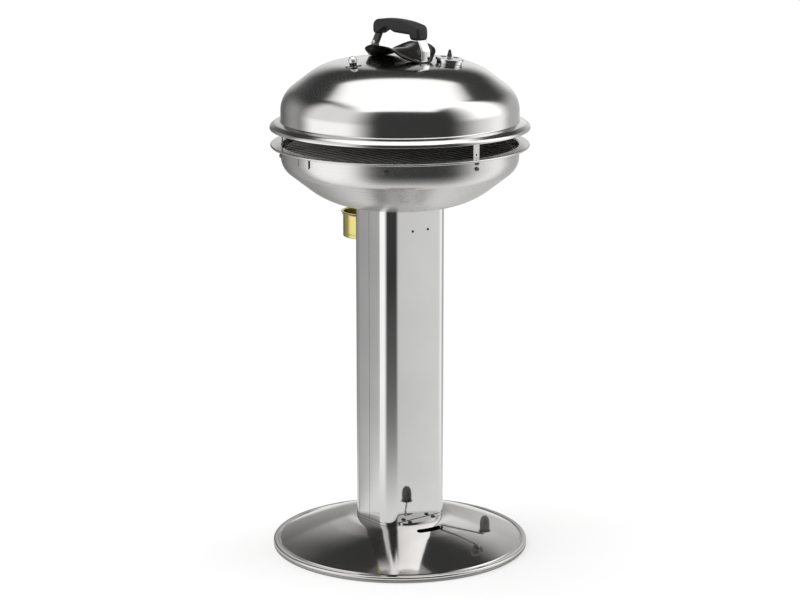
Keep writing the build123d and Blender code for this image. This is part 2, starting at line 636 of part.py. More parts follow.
# Heat shield: an arched saddle plate clamped under both handle feet
SHIELD_STATIONS = (
    (0.0, 48.0, 7.6),
    (16.0, 48.5, 10.8),
    (31.0, 49.0, 17.2),
    (45.0, 47.5, 19.0),
    (52.0, 44.5, 17.8),
    (60.0, 38.0, 14.0),
    (67.0, 28.0, 8.0),
    (72.0, 21.5, 4.0),
    (75.8, 17.0, 1.6),
)


def shield_section(y, half, curl):
    """Cross-section of the shield: flat middle, edges curling up."""
    arch = 0.5 + 0.5 * cos(pi * min(abs(y) / (FOOT_R - 8), 1.0))
    low = tangent_z(max(abs(y), FOOT_R - 8)) + FIT + SHIELD_RISE * arch
    run = half - SHIELD_FLAT
    sweep_r = (run**2 + curl**2) / (2 * curl)
    swing = atan2(run, sweep_r - curl) / 2
    mid = (SHIELD_FLAT + sweep_r * sin(swing), sweep_r * (1 - cos(swing)))
    edges = []
    for z, sign in ((low, 1), (low + SHIELD_T, -1)):
        right = ThreePointArc((SHIELD_FLAT, z), (mid[0], z + mid[1]), (half, z + curl))
        left = ThreePointArc((-half, z + curl), (-mid[0], z + mid[1]), (-SHIELD_FLAT, z))
        edges += [left.edge(), Line((-SHIELD_FLAT, z), (SHIELD_FLAT, z)).edge(), right.edge()]
    for x in (-half, half):
        edges.append(Line((x, low + curl), (x, low + curl + SHIELD_T)).edge())
    return Pos(0, y, 0) * (Plane.XZ * make_face(edges))


ends = [(-y, half, curl) for y, half, curl in reversed(SHIELD_STATIONS[1:])]
shield = loft([shield_section(*station) for station in [*ends, *SHIELD_STATIONS]])
shield -= [frame * rod(HANDLE_BOLT_R + FIT, -2, 12) for frame in handle_frames]
save("heat_shield", shield)

# Bolts and nuts that clamp straps and shield to the lid
clamp_top = foot_lift + STRAP_T / 2
bolt_r = HANDLE_BOLT_R - FIT / 2
handle_bolt = rod(bolt_r, -SHEET - 0.2, clamp_top + HANDLE_NUT_H + 1)
handle_bolt += rod(HANDLE_HEAD_R, -SHEET - 3.1, -SHEET - 0.1)
handle_nut = hex_nut(HANDLE_BOLT_R, HANDLE_NUT_W, clamp_top + 0.05, clamp_top + HANDLE_NUT_H)
save("handle_bolts", group([frame * handle_bolt for frame in handle_frames]))
save("handle_nuts", group([frame * handle_nut for frame in handle_frames]))

# Lid vent: a fixed holed seat, a turning cap with a finger tab and a rivet
seat_top = VENT_H - SHEET - 0.4
seat = rod(VENT_SEAT_R, 0, seat_top) - rod(VENT_SEAT_R - SHEET, -1, seat_top - SHEET)
seat -= rod(2.5 + FIT, -1, VENT_H + 2)
save("vent_seat", vent_frame * (seat - vent_holes))
cap = rod(VENT_R, VENT_H - VENT_RIM_H, VENT_H) - rod(VENT_R - 1.3, 0, VENT_H - SHEET)
cap -= rod(2.5 + RUN, -1, VENT_H + 2)
cap -= vent_holes
tab_face = Polyline((-4.8, 0), (4.8, 0), (2.6, VENT_TAB_H), (-1.2, VENT_TAB_H), close=True)
tab_plate = extrude(Plane.XZ * make_face(tab_face), 0.8, both=True)
cap += Rot(0, 0, VENT_TAB_TURN) * Pos(VENT_R - 5, 0, VENT_H - 0.3) * Rot(0, 0, 90) * tab_plate
save("vent_cap", vent_frame * cap)
vent_pin = rod(2.5, -SHEET - 2, VENT_H + 0.2)
vent_pin += rod(5, VENT_H + 0.2, VENT_H + 1.6) + rod(5, -SHEET - 2.1, -SHEET - 0.1)
save("vent_rivet", vent_frame * vent_pin)

# Lid hook inside the crown, held by a bolt, washer, seal and domed nut outside
washer = rod(HOOK_WASHER_R, 0.05, 1.5) - rod(3 + FIT, 0, 2)
save("hook_washer", hook_frame * washer)
save("hook_seal", hook_frame * (rod(HOOK_SEAL_R, 1.5, HOOK_SEAL_H) - rod(3 + FIT, 1, HOOK_SEAL_H + 1)))
nut_brow = HOOK_SEAL_H + HOOK_NUT_H - HOOK_NUT_R
dome = Pos(0, 0, nut_brow) * Sphere(HOOK_NUT_R)
domed_nut = dome & rod(HOOK_NUT_R, nut_brow, nut_brow + HOOK_NUT_R)
domed_nut += rod(HOOK_NUT_R, HOOK_SEAL_H, nut_brow)
domed_nut -= rod(3 + FIT / 2, HOOK_SEAL_H - 1, nut_brow + 4)
save("hook_nut", hook_frame * domed_nut)
hook_z = -SHEET - 1.3
hook_path = FilletPolyline(
    (-8, hook_z), (14, hook_z), (14, -38), (32, -38), (32, -26), radius=[3, 5, 5]
)
hook_strip = extrude(Plane.YZ * trace(hook_path, 2.0), 8, both=True)
hook_strip -= rod(3 + FIT, -9, 9)
save("lid_hook", hook_frame * hook_strip)
hook_bolt = rod(3, hook_z - 1, nut_brow + 3) + rod(5.5, hook_z - 4.1, hook_z - 1)
save("hook_bolt", hook_frame * hook_bolt)
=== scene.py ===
# %% [markdown]
# # Pedestal charcoal grill in bright steel
# A round grill on a column: a dished base, a rounded column, a bowl and a domed lid with a black
# handle. Nearly all of it is bright sheet steel, so it is seen through what the metal mirrors.
# The solids come in as a frame of loose triangles. A mirror shows every flat triangle, so the
# bright pieces are made again as smooth meshes of the same sizes, and the small plain ones stay.

# %% Load the frame and keep its box
import json
import math

import bmesh
import bpy
from mathutils import Matrix, Vector


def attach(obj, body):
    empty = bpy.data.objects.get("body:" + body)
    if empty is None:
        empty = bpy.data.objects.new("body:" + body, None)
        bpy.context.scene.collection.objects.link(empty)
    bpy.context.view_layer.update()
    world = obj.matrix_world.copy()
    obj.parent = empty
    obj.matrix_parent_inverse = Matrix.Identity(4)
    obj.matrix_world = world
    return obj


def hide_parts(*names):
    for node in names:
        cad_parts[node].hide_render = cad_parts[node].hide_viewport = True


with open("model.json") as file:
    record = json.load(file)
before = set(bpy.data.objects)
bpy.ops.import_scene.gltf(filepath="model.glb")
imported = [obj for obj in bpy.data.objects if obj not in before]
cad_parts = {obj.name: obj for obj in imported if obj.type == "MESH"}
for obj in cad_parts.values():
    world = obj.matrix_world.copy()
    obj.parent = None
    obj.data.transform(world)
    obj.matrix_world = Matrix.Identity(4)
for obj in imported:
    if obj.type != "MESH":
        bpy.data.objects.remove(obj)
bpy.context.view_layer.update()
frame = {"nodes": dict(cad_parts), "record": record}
scene = bpy.context.scene
record = frame["record"]
body_of_node = {node: body for body, held in record["behaviour"]["bodies"].items() for node in held}
slot_of_node = {row["node"]: row["material_slot"] for row in record["subparts"]}

# %% [markdown]
# ## Sizes
# Millimetres, from the centre of the base on the floor. The front of the column faces -Y and +Z
# is up. The same values drive the solids, so every new piece lands on the one that it stands for.

# %% Main sizes
MM = 0.001
SHEET = 1.2
PLATE = 1.5
WALL_R = 229.0
BASE_TOP_Z = 60.0
COLUMN_Z = 62.5
BOWL_Z = 684.0
RIM_Z = 803.5
LIP_Z = 832.7
LID_TOP_Z = 967.5
CROWN_R = 850.0


def crown_z(rho):
    """Height of the lid's crown at one radius."""
    return LID_TOP_Z - CROWN_R + math.sqrt(CROWN_R**2 - rho**2)


def crown_frame(angle, rho):
    """Place on the crown: Z along the outward normal, Y towards the centre."""
    a, tilt = math.radians(angle), math.asin(rho / CROWN_R)
    across = Vector((-math.sin(a), math.cos(a), 0))
    up = Vector((math.sin(tilt) * math.cos(a), math.sin(tilt) * math.sin(a), math.cos(tilt)))
    place = Matrix((across, up.cross(across), up)).transposed().to_4x4()
    place.translation = Vector((rho * math.cos(a), rho * math.sin(a), crown_z(rho))) * MM
    return place


print("crown at the handle feet:", round(crown_z(66.0), 2), "mm")

# %% [markdown]
# ## Ways of making a mesh
# Sheet pieces here are one of three kinds: turned about an axis, bent along a path, or drawn as
# wire. Each starts as a path with rounded corners. Long straight runs are divided, because a
# smooth-shaded mirror bends its reflection across a long face whose two ends differ in normal.


# %% Paths
def rounded_path(points, radii, step=3.0):
    """Path through points with each inner corner rounded, in two or three dimensions."""
    points = [Vector(p) for p in points]
    path = [points[0]]
    for before, corner, after, radius in zip(points, points[1:], points[2:], radii):
        u, v = (before - corner).normalized(), (after - corner).normalized()
        opening = u.angle(v)
        turn = math.pi - opening
        middle = corner + (u + v).normalized() * radius / math.sin(opening / 2)
        run = radius / math.tan(opening / 2)
        start, end = corner + u * run - middle, corner + v * run - middle
        count = max(2, round(math.degrees(turn) / step))
        for i in range(count + 1):
            part = start * math.sin((1 - i / count) * turn) + end * math.sin(i / count * turn)
            path.append(middle + part / math.sin(turn))
    path.append(points[-1])
    return path


def arc(centre, radius, start, end, step=2.0):
    """Points on an arc; angles in degrees from +X, anticlockwise."""
    count = max(2, round(abs(end - start) / step))
    turns = [math.radians(start + (end - start) * i / count) for i in range(count + 1)]
    return [Vector((centre[0] + radius * math.cos(t), centre[1] + radius * math.sin(t))) for t in turns]


def divided(path, longest=6.0):
    """The same path with no run longer than a limit."""
    out = [path[0]]
    for a, b in zip(path, path[1:]):
        if (b - a).length < 1e-6:
            continue
        pieces = math.ceil((b - a).length / longest)
        out += [a.lerp(b, i / pieces) for i in range(1, pieces + 1)]
    return out


def beside(path, distance):
    """Flat path moved to its left by a distance."""
    sides = []
    for a, b in zip(path, path[1:]):
        along = (b - a).normalized()
        sides.append(Vector((-along.y, along.x)))
    sides = [sides[0], *sides, sides[-1]]
    return [p + (m + n) * distance / (1 + m.dot(n)) for p, m, n in zip(path, sides, sides[1:])]


def sheet_loop(path, thickness, edge=(), skip=0):
    """Closed section for turning: a path, its edge, and back along the other face of the sheet."""
    inner = [Vector((max(p.x, 0), p.y)) for p in beside(path, thickness)]
    return [*path, *edge, *reversed(inner[: len(inner) - skip])]


def on_circle(radius, angle):
    a = math.radians(angle)
    return (radius * math.cos(a), radius * math.sin(a))


def box_line(x0, y0, x1, y1):
    """Corners of a rectangle."""
    return [(x0, y0), (x1, y0), (x1, y1), (x0, y1)]


print("path tools ready")


# %% Meshes
def new_object(name, data):
    obj = bpy.data.objects.new(name, data)
    scene.collection.objects.link(obj)
    return obj


def as_object(name, bm, place=None):
    """Object from a bmesh, put in its place."""
    mesh = bpy.data.meshes.new(name)
    bm.to_mesh(mesh)
    bm.free()
    if place:
        mesh.transform(place)
    return new_object(name, mesh)


def from_bmesh(name, bm, place=None):
    """The same, closed and with its faces pointing outwards."""
    bmesh.ops.remove_doubles(bm, verts=bm.verts, dist=1e-7)
    bmesh.ops.recalc_face_normals(bm, faces=bm.faces)
    return as_object(name, bm, place)


def skin(bm, rings):
    """Faces between neighbouring rings of equal count; a ring of one point is a pole."""
    for low, high in zip(rings, rings[1:]):
        count = max(len(low), len(high))
        for i in range(count if count > 1 else 0):
            j = (i + 1) % count
            corners = [low[i % len(low)], low[j % len(low)], high[j % len(high)], high[i % len(high)]]
            bm.faces.new(list(dict.fromkeys(corners)))


def ring_stack(name, rings, place=None, closed=True):
    """Object skinned over rings of points."""
    bm = bmesh.new()
    made = [[bm.verts.new(Vector(p) * MM) for p in ring] for ring in rings]
    skin(bm, made + made[:1] if closed else made)
    return from_bmesh(name, bm, place)


def spun(name, loop, segments=192, place=None):
    """Closed section of (radius, height) turned once round the upright axis."""
    turns = [2 * math.pi * i / segments for i in range(segments)]
    rings = []
    for r, z in loop:
        ring = [(r * math.cos(t), r * math.sin(t), z) for t in turns]
        rings.append(ring if r > 1e-6 else [(0, 0, z)])
    return ring_stack(name, rings, place)


def extruded(name, outline, low, high, place=None):
    """Closed flat outline given thickness along Z."""
    bm = bmesh.new()
    floor = [bm.verts.new((p[0] * MM, p[1] * MM, low * MM)) for p in outline]
    roof = [bm.verts.new((p[0] * MM, p[1] * MM, high * MM)) for p in outline]
    bm.faces.new(floor)
    bm.faces.new(roof)
    skin(bm, [floor, roof])
    return from_bmesh(name, bm, place)


def plain_mesh(obj):
    """Mesh of an object with everything on it worked out."""
    return bpy.data.meshes.new_from_object(obj.evaluated_get(bpy.context.evaluated_depsgraph_get()))


def settled(obj):
    """Modifiers turned into plain mesh."""
    mesh = plain_mesh(obj)
    obj.modifiers.clear()
    obj.data = mesh
    return obj


def bevelled(obj, width, segments=2, angle=40.0):
    """Sharp edges broken, as on cut sheet or moulded plastic."""
    edge = obj.modifiers.new("edge", "BEVEL")
    edge.width = width * MM
    edge.segments = segments
    edge.limit_method = "ANGLE"
    edge.angle_limit = math.radians(angle)
    return settled(obj)


def cut(obj, *cutters):
    """Holes: each cutter is taken out of the mesh and then removed."""
    for cutter in cutters:
        hole = obj.modifiers.new("hole", "BOOLEAN")
        hole.object = cutter
        hole.solver = "EXACT"
        settled(obj)
        bpy.data.objects.remove(cutter)
    return obj


def moved(x, y, z=0.0):
    """Place at a point given in millimetres."""
    return Matrix.Translation((x * MM, y * MM, z * MM))


def drill(radius, low, high, place):
    """Round cutter along Z."""
    return spun("drill", box_line(0, low, radius, high), 32, place)


def wire(name, path, radius):
    """Round wire along a path."""
    curve = bpy.data.curves.new(name, "CURVE")
    curve.dimensions = "3D"
    curve.bevel_depth = radius * MM
    curve.bevel_resolution = 4
    curve.use_fill_caps = True
    line = curve.splines.new("POLY")
    line.points.add(len(path) - 1)
    for spot, p in zip(line.points, path):
        spot.co = (*(Vector(p) * MM), 1)
    drawn = new_object(name + "_line", curve)
    mesh = plain_mesh(drawn)
    bpy.data.objects.remove(drawn)
    return new_object(name, mesh)


def joined(name, *objects):
    """Several meshes kept as one piece."""
    bm = bmesh.new()
    for obj in objects:
        bm.from_mesh(obj.data)
        bpy.data.objects.remove(obj)
    return as_object(name, bm)


def keep(obj, finish, node, sharp=32.0):
    """Smooth shading, a finish, the body of the node that the piece stands for, and that node's own part
    hidden.
    """
    mesh = obj.data
    mesh.materials.clear()
    mesh.materials.append(finish)
    mesh.polygons.foreach_set("use_smooth", [True] * len(mesh.polygons))
    mesh.set_sharp_from_angle(angle=math.radians(sharp))
    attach(obj, body_of_node[node])
    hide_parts(node)
    print(f"{obj.name}: {len(mesh.polygons)} faces")


# %% [markdown]
# ## Finishes
# Every finish is built from nodes on Object coordinates. Turned sheet is polished while it spins,
# so its fine lines run round the axis: a noise that changes fast along radius and height but
# slowly round the axis gives them, with no seam. The column was polished as flat sheet, so its
# lines run upright. Rolled sheet is never quite flat, and a broad, faint bump bends reflections.


# %% Node helpers
def add(tree, kind, inputs=None, **settings):
    """New node; an input is either a value or the socket that feeds it."""
    made = tree.nodes.new(kind)
    for key, value in settings.items():
        setattr(made, key, value)
    for key, value in (inputs or {}).items():
        if isinstance(value, bpy.types.NodeSocket):
            tree.links.new(value, made.inputs[key])
        else:
            made.inputs[key].default_value = value
    return made


def maths(tree, operation, *terms):
    return add(tree, "ShaderNodeMath", dict(enumerate(terms)), operation=operation).outputs[0]


def xyz(tree, parts):
    return add(tree, "ShaderNodeCombineXYZ", parts).outputs[0]


def vectors(tree, operation, *terms):
    made = add(tree, "ShaderNodeVectorMath", dict(enumerate(terms)), operation=operation)
    return made.outputs["Value" if operation == "LENGTH" else "Vector"]


def blank_finish(name, **values):
    """Material with its main shader and the piece's own coordinates."""
    mat = bpy.data.materials.new(name)
    mat.use_nodes = True
    tree = mat.node_tree
    shader = tree.nodes["Principled BSDF"]
    for key, value in values.items():
        shader.inputs[key.replace("_", " ").title()].default_value = value
    place = add(tree, "ShaderNodeTexCoord").outputs["Object"]
    return mat, tree, shader, place


def noise(tree, vector, scale, detail=2.0):
    feed = {"Vector": vector, "Scale": scale, "Detail": detail}
    return add(tree, "ShaderNodeTexNoise", feed).outputs["Fac"]


def ranged(tree, value, low, high, start=0.3, end=0.7):
    """A noise value spread over a range."""
    feed = {"Value": value, "From Min": start, "From Max": end, "To Min": low, "To Max": high}
    return add(tree, "ShaderNodeMapRange", feed).outputs["Result"]


def mixed(tree, factor, first, second):
    made = add(tree, "ShaderNodeMix", {0: factor}, data_type="RGBA")
    made.inputs[6].default_value = (*first, 1)
    made.inputs[7].default_value = (*second, 1)
    return made.outputs[2]


def feed_shader(tree, shader, colour, roughness, *bumps):
    """Colour, roughness and a chain of bumps, each given as (height, strength, depth in mm)."""
    normal = None
    for height, strength, depth in bumps:
        feed = {"Height": height, "Strength": strength, "Distance": depth * MM}
        if normal:
            feed["Normal"] = normal
        normal = add(tree, "ShaderNodeBump", feed).outputs["Normal"]
    for key, socket in (("Base Color", colour), ("Roughness", roughness), ("Normal", normal)):
        tree.links.new(socket, shader.inputs[key])


def round_lines(tree, place, fineness):
    """Fine lines round the upright axis."""
    flat = vectors(tree, "MULTIPLY", place, (1, 1, 0))
    lane = maths(tree, "MULTIPLY", vectors(tree, "LENGTH", flat), fineness)
    height = add(tree, "ShaderNodeSeparateXYZ", {0: place}).outputs["Z"]
    level = maths(tree, "MULTIPLY", height, fineness)
    lift = xyz(tree, {"Z": lane})
    spot = vectors(tree, "ADD", vectors(tree, "NORMALIZE", flat), lift)
    feed = {"Vector": spot, "W": level, "Scale": 1.0, "Detail": 3.0}
    return add(tree, "ShaderNodeTexNoise", feed, noise_dimensions="4D").outputs["Fac"]


def upright_lines(tree, place, fineness):
    """Fine lines along Z."""
    return noise(tree, vectors(tree, "MULTIPLY", place, (fineness, fineness, 5.0)), 1.0, 3.0)


def steel(name, colour, smooth, rough, lines, fineness=700.0, groove=0.05, waves=0.12):
    """Bright sheet steel: polishing lines, faint smudges and a slow waviness."""
    mat, tree, shader, place = blank_finish(name, metallic=1.0)
    grain = lines(tree, place, fineness)
    smudge = noise(tree, place, 9.0, 4.0)
    dull = ranged(tree, maths(tree, "ADD", grain, smudge), smooth, rough, 0.75, 1.25)
    worn = tuple(0.93 * c for c in colour)
    tint = mixed(tree, ranged(tree, smudge, 0, 1), worn, colour)
    slow = noise(tree, place, 5.0, 1.0)
    feed_shader(tree, shader, tint, dull, (slow, waves, 4.0), (grain, groove, 0.1))
    return mat


# %% Finishes of this grill
lid_steel = steel("lid_polish", (0.70, 0.69, 0.68), 0.13, 0.17, round_lines, 700.0, 0.004)
bowl_steel = steel("bowl_satin", (0.68, 0.67, 0.66), 0.24, 0.28, round_lines, 500.0, 0.004)
base_steel = steel("base_polish", (0.68, 0.665, 0.65), 0.06, 0.12, round_lines, 700.0, 0.02)
column_steel = steel("column_polish", (0.70, 0.695, 0.69), 0.03, 0.08, upright_lines, 700.0, 0.02)
plain_steel = steel("plain_sheet", (0.50, 0.49, 0.48), 0.28, 0.40, upright_lines, 500.0)
bright_trim = steel("bright_trim", (0.78, 0.78, 0.78), 0.06, 0.14, upright_lines, 900.0)
zinc = steel("zinc_plate", (0.26, 0.26, 0.255), 0.22, 0.36, upright_lines, 1500.0)
nut_satin = steel("nut_satin", (0.92, 0.92, 0.91), 0.42, 0.50, upright_lines, 1500.0, 0.01)
bracket_steel = steel("bracket_plate", (0.86, 0.85, 0.84), 0.30, 0.40, upright_lines, 900.0, 0.01)
plated_wire = steel("plated_wire", (0.62, 0.61, 0.60), 0.15, 0.26, upright_lines, 900.0)


def moulded(name, colour, roughness, grain, depth):
    """Moulded plastic, rubber or baked enamel with a fine surface grain."""
    mat, tree, shader, place = blank_finish(name)
    pores = noise(tree, place, grain, 3.0)
    patches = noise(tree, place, 40.0, 3.0)
    pale = tuple(c * 1.35 + 0.002 for c in colour)
    tint = mixed(tree, ranged(tree, patches, 0, 1), colour, pale)
    feed_shader(tree, shader, tint, ranged(tree, patches, *roughness), (pores, 0.25, depth))
    return mat


grip_plastic = moulded("grip_plastic", (0.006, 0.006, 0.0065), (0.5, 0.62), 900.0, 0.15)
shield_enamel = moulded("shield_enamel", (0.012, 0.011, 0.010), (0.16, 0.26), 500.0, 0.05)
grate_enamel = moulded("grate_enamel", (0.18, 0.175, 0.17), (0.45, 0.6), 500.0, 0.05)
tip_rubber = moulded("tip_rubber", (0.07, 0.07, 0.07), (0.42, 0.56), 700.0, 0.12)
seal_rubber = moulded("seal_rubber", (0.012, 0.012, 0.012), (0.5, 0.62), 700.0, 0.12)
black_oxide = moulded("black_oxide", (0.014, 0.014, 0.015), (0.28, 0.4), 1500.0, 0.05)

# %% [markdown]
# The grease cup is tin with a clear gold lacquer. The lacquer pools unevenly, so the gold drifts
# towards green in soft patches.

# %% Gold lacquer
gold_tin, tree, shader, place = blank_finish("gold_lacquer", metallic=1.0)
pooling = noise(tree, place, 30.0, 2.0)
drawn = upright_lines(tree, place, 800.0)
tint = mixed(tree, ranged(tree, pooling, 0, 1), (0.66, 0.54, 0.20), (0.56, 0.56, 0.20))
feed_shader(tree, shader, tint, ranged(tree, drawn, 0.16, 0.30), (drawn, 0.08, 0.1))
print("finishes:", len(bpy.data.materials))

# %% [markdown]
# ## Base
# One sheet pressed into a shallow cone with a flat top, a groove near the edge, and a lip turned
# down to the floor. It is a section turned round the axis. The lever slot and the air holes under
# the column are cut afterwards, so the turned mesh stays even.

# %% Base dish
BASE_R, BASE_TOP_R, SKIRT_R, SKIRT_Z = 251.5, 97.0, 237.0, 12.5
BASE_BULGE, TOP_BEND, LEDGE_Z, BASE_LIP_Z, GROOVE_DEPTH = 3.0, 90.0, 12.0, 6.2, 2.4
chord = Vector((SKIRT_R - BASE_TOP_R, SKIRT_Z - BASE_TOP_Z))
skirt_r = (chord.length**2 / 4 + BASE_BULGE**2) / (2 * BASE_BULGE)
out = Vector((-chord.y, chord.x)).normalized()
skirt_mid = Vector((BASE_TOP_R, BASE_TOP_Z)) + chord / 2 - out * (skirt_r - BASE_BULGE)
first = math.degrees(math.atan2(BASE_TOP_Z - skirt_mid.y, BASE_TOP_R - skirt_mid.x))
last = math.degrees(math.atan2(SKIRT_Z - skirt_mid.y, SKIRT_R - skirt_mid.x))
skirt = arc(skirt_mid, skirt_r, first, last, 0.35)
flat_to_skirt = rounded_path([(0, BASE_TOP_Z), (BASE_TOP_R, BASE_TOP_Z), skirt[8]], [TOP_BEND], 1.0)
groove_z = SKIRT_Z - GROOVE_DEPTH
rim = [(SKIRT_R, SKIRT_Z), (SKIRT_R + 1.6, groove_z), (SKIRT_R + 3.6, groove_z)]
rim += [(SKIRT_R + 5.2, LEDGE_Z), (BASE_R, LEDGE_Z), (BASE_R, BASE_LIP_Z)]
rim = rounded_path(rim, [0.6, 0.6, 1.0, 4.0], 10.0)
base_top = divided([*flat_to_skirt, *skirt[9:-1], *rim], 8.0)
base = spun("base_dish", sheet_loop(base_top, -SHEET))
AIR_HOLES, AIR_CIRCLE_R, AIR_HOLE_R = 6, 33.0, 9.0
for i in range(AIR_HOLES):
    where = moved(*on_circle(AIR_CIRCLE_R, 360 * (i + 0.5) / AIR_HOLES))
    cut(base, drill(AIR_HOLE_R, BASE_TOP_Z - 10, BASE_TOP_Z + 10, where))
LEVER_ANGLE, LEVER_SWING, SLOT_R, SLOT_W = 5.7, 24.0, 113.0, 12.0
slot_start, slot_end = -90 + LEVER_ANGLE - LEVER_SWING, -90 + LEVER_ANGLE
slot = arc((0, 0), SLOT_R + SLOT_W / 2, slot_start, slot_end)
slot += arc(on_circle(SLOT_R, slot_end), SLOT_W / 2, slot_end, slot_end + 180, 15.0)[1:-1]
slot += arc((0, 0), SLOT_R - SLOT_W / 2, slot_end, slot_start)
slot += arc(on_circle(SLOT_R, slot_start), SLOT_W / 2, slot_start + 180, slot_start + 360, 15.0)[1:-1]
cut(base, extruded("lever_slot", slot, BASE_TOP_Z - 30, BASE_TOP_Z + 20))
keep(base, base_steel, "base_shell")

# %% [markdown]
# ## Column
# Two half shells with rounded corners meet in a seam at each side. The section of one half is
# given thickness and drawn upwards. The corners have many fine steps, and the flat faces carry
# extra lines beside them, so a flat face mirrors as a flat face. The shells start a little above
# the foot plate, and the gap shows as the dark line of the joint.

# %% Column half shells
COLUMN_W, COLUMN_D, COLUMN_CORNER, SEAM, FOOT_GAP = 152.0, 116.0, 26.0, 0.8, 0.8
half_w, half_d = COLUMN_W / 2, COLUMN_D / 2
half_section = [(-half_w, -SEAM / 2), (-half_w, -half_d), (half_w, -half_d), (half_w, -SEAM / 2)]
half_section = divided(rounded_path(half_section, [COLUMN_CORNER, COLUMN_CORNER], 2.5), 4.0)
half_loop = [*half_section, *reversed(beside(half_section, SHEET))]
for label, turn in (("front", 0.0), ("rear", math.pi)):
    place = Matrix.Rotation(turn, 4, "Z")
    shell = extruded(f"column_half_{label}", half_loop, COLUMN_Z + FOOT_GAP, BOWL_Z, place)
    keep(shell, column_steel, f"column_{label}_shell")

# %% [markdown]
# ## Bowl
# A spun bowl: flat floor with the flue hole, a sloping side, an upright band and a flange whose
# edge is rolled into a bead. The bead is part of the section.

# %% Bowl
FLUE_R, BOWL_SLOPE, BOWL_CORNER_H, FLOOR_ARC, BOWL_BEND = 46.0, 38.0, 76.0, 165.0, 38.0
BEAD_R, BOWL_FLANGE_R = 2.35, 249.0
corner_run = BOWL_CORNER_H / math.tan(math.radians(BOWL_SLOPE))
bead_at = (BOWL_FLANGE_R - BEAD_R, RIM_Z - BEAD_R)
bead_in = math.sqrt(BEAD_R**2 - (BEAD_R - SHEET) ** 2)
bowl_out = [(FLUE_R, BOWL_Z), (WALL_R - corner_run, BOWL_Z), (WALL_R, BOWL_Z + BOWL_CORNER_H)]
bowl_out += [(WALL_R, RIM_Z - SHEET), (bead_at[0] - bead_in, RIM_Z - SHEET)]
bowl_out = divided(rounded_path(bowl_out, [FLOOR_ARC, BOWL_BEND, 2.0], 2.0))
bead_start = 180 - math.degrees(math.asin((BEAD_R - SHEET) / BEAD_R))
bead = arc(bead_at, BEAD_R, bead_start, 450, 24.0)[1:]
bowl = spun("bowl", sheet_loop(bowl_out, SHEET, bead))
LOOP_W, LOOP_H, LOOP_DROP, SLIT_HALF = 30.0, 19.0, 16.5, 1.8
loop_z = RIM_Z - LOOP_DROP
window_y = LOOP_W / 2 + 2 * SLIT_HALF + 0.3
for side in (-WALL_R, WALL_R):
    gap = box_line(side - 6, -window_y, side + 6, window_y)
    cut(bowl, extruded("loop_window", gap, loop_z - LOOP_H / 2 + 2, loop_z + LOOP_H / 2 - 2))
DRAIN_Y, DRAIN_R = 80.0, 7.05
cut(bowl, drill(DRAIN_R, BOWL_Z - 5, BOWL_Z + 5, moved(0, DRAIN_Y)))
keep(bowl, bowl_steel, "bowl_shell")

# %% [markdown]
# ## Lid
# The crown is part of a large sphere. A wide bend leads it into the sloping shoulder, a tighter
# one into the upright wall, and a flange with a turned-down lip ends it. The place where a wide
# bend leaves a sphere has no simple corner, so its centre is worked out from the two tangents.

# %% Lid
LID_FOOT_Z, SHOULDER_Z, LID_SLOPE, CROWN_BEND = 847.5, 893.8, math.radians(38.0), 126.0
LID_FLANGE_R, LID_FALL, LIP_RUN, LIP_DROP, HEM_R = 250.0, 5.2, 8.5, 4.2, 1.1
crown_mid = LID_TOP_Z - CROWN_R
reach = math.sin(LID_SLOPE) * WALL_R + math.cos(LID_SLOPE) * (SHOULDER_Z - crown_mid) - CROWN_BEND
bend_turn = LID_SLOPE - math.acos(reach / (CROWN_R - CROWN_BEND))
bend_at = Vector((math.sin(bend_turn), math.cos(bend_turn))) * (CROWN_R - CROWN_BEND)
bend_at += Vector((0, crown_mid))
bend_start = 90 - math.degrees(bend_turn)
crown_arc = arc((0, crown_mid), CROWN_R, 90, bend_start, 0.5)
crown_arc[0].x = 0.0
bend_arc = arc(bend_at, CROWN_BEND, bend_start, 90 - math.degrees(LID_SLOPE), 1.5)
lip_rho = LID_FLANGE_R - LIP_RUN
lip_fall = LID_FALL * (lip_rho - WALL_R) / (LID_FLANGE_R - WALL_R)
side = [bend_arc[-1], (WALL_R, SHOULDER_Z), (WALL_R, LID_FOOT_Z), (lip_rho, LID_FOOT_Z - lip_fall)]
side += [(LID_FLANGE_R, LID_FOOT_Z - LID_FALL - LIP_DROP), (LID_FLANGE_R, LIP_Z + HEM_R)]
side = rounded_path(side, [55.0, 2.5, 14.0, 7.0], 2.0)
lid_out = divided([*crown_arc, *bend_arc[1:], *side[1:]])
hem = arc((LID_FLANGE_R - HEM_R, LIP_Z + HEM_R), HEM_R, 0, -200, 25.0)[1:]
lid = spun("lid", sheet_loop(lid_out, -SHEET, hem, skip=1))
VENT_ANGLE, VENT_RHO, VENT_CIRCLE_R, VENT_HOLE_R, VENT_TURN = -60.0, 100.0, 13.5, 6.0, 21.6
vent_frame = crown_frame(VENT_ANGLE, VENT_RHO)


def vent_holes(low, high):
    """Cutters for the three vent holes."""
    spots = [on_circle(VENT_CIRCLE_R, VENT_TURN + 60 + 120 * i) for i in range(3)]
    return [drill(VENT_HOLE_R, low, high, vent_frame @ moved(x, y)) for x, y in spots]


cut(lid, *vent_holes(-9, 3))
keep(lid, lid_steel, "lid_shell")

# %% [markdown]
# ## Handle
# Two bright straps stand on the crown and carry a black grip. Each strap is a strip bent twice.
# The grip is a bar whose upper and lower lines differ along its length, with one finger notch, so
# it is skinned over rounded cross-sections taken from its side outline.

# %% Handle straps
FOOT_RHO, LEG_RHO, STRAP_W, STRAP_T = 66.0, 77.6, 20.0, 2.0
foot_tilt = FOOT_RHO / math.sqrt(CROWN_R**2 - FOOT_RHO**2)


def tangent_z(rho):
    """Height of the flat laid on the crown under each handle foot."""
    return crown_z(FOOT_RHO) + (FOOT_RHO - rho) * foot_tilt


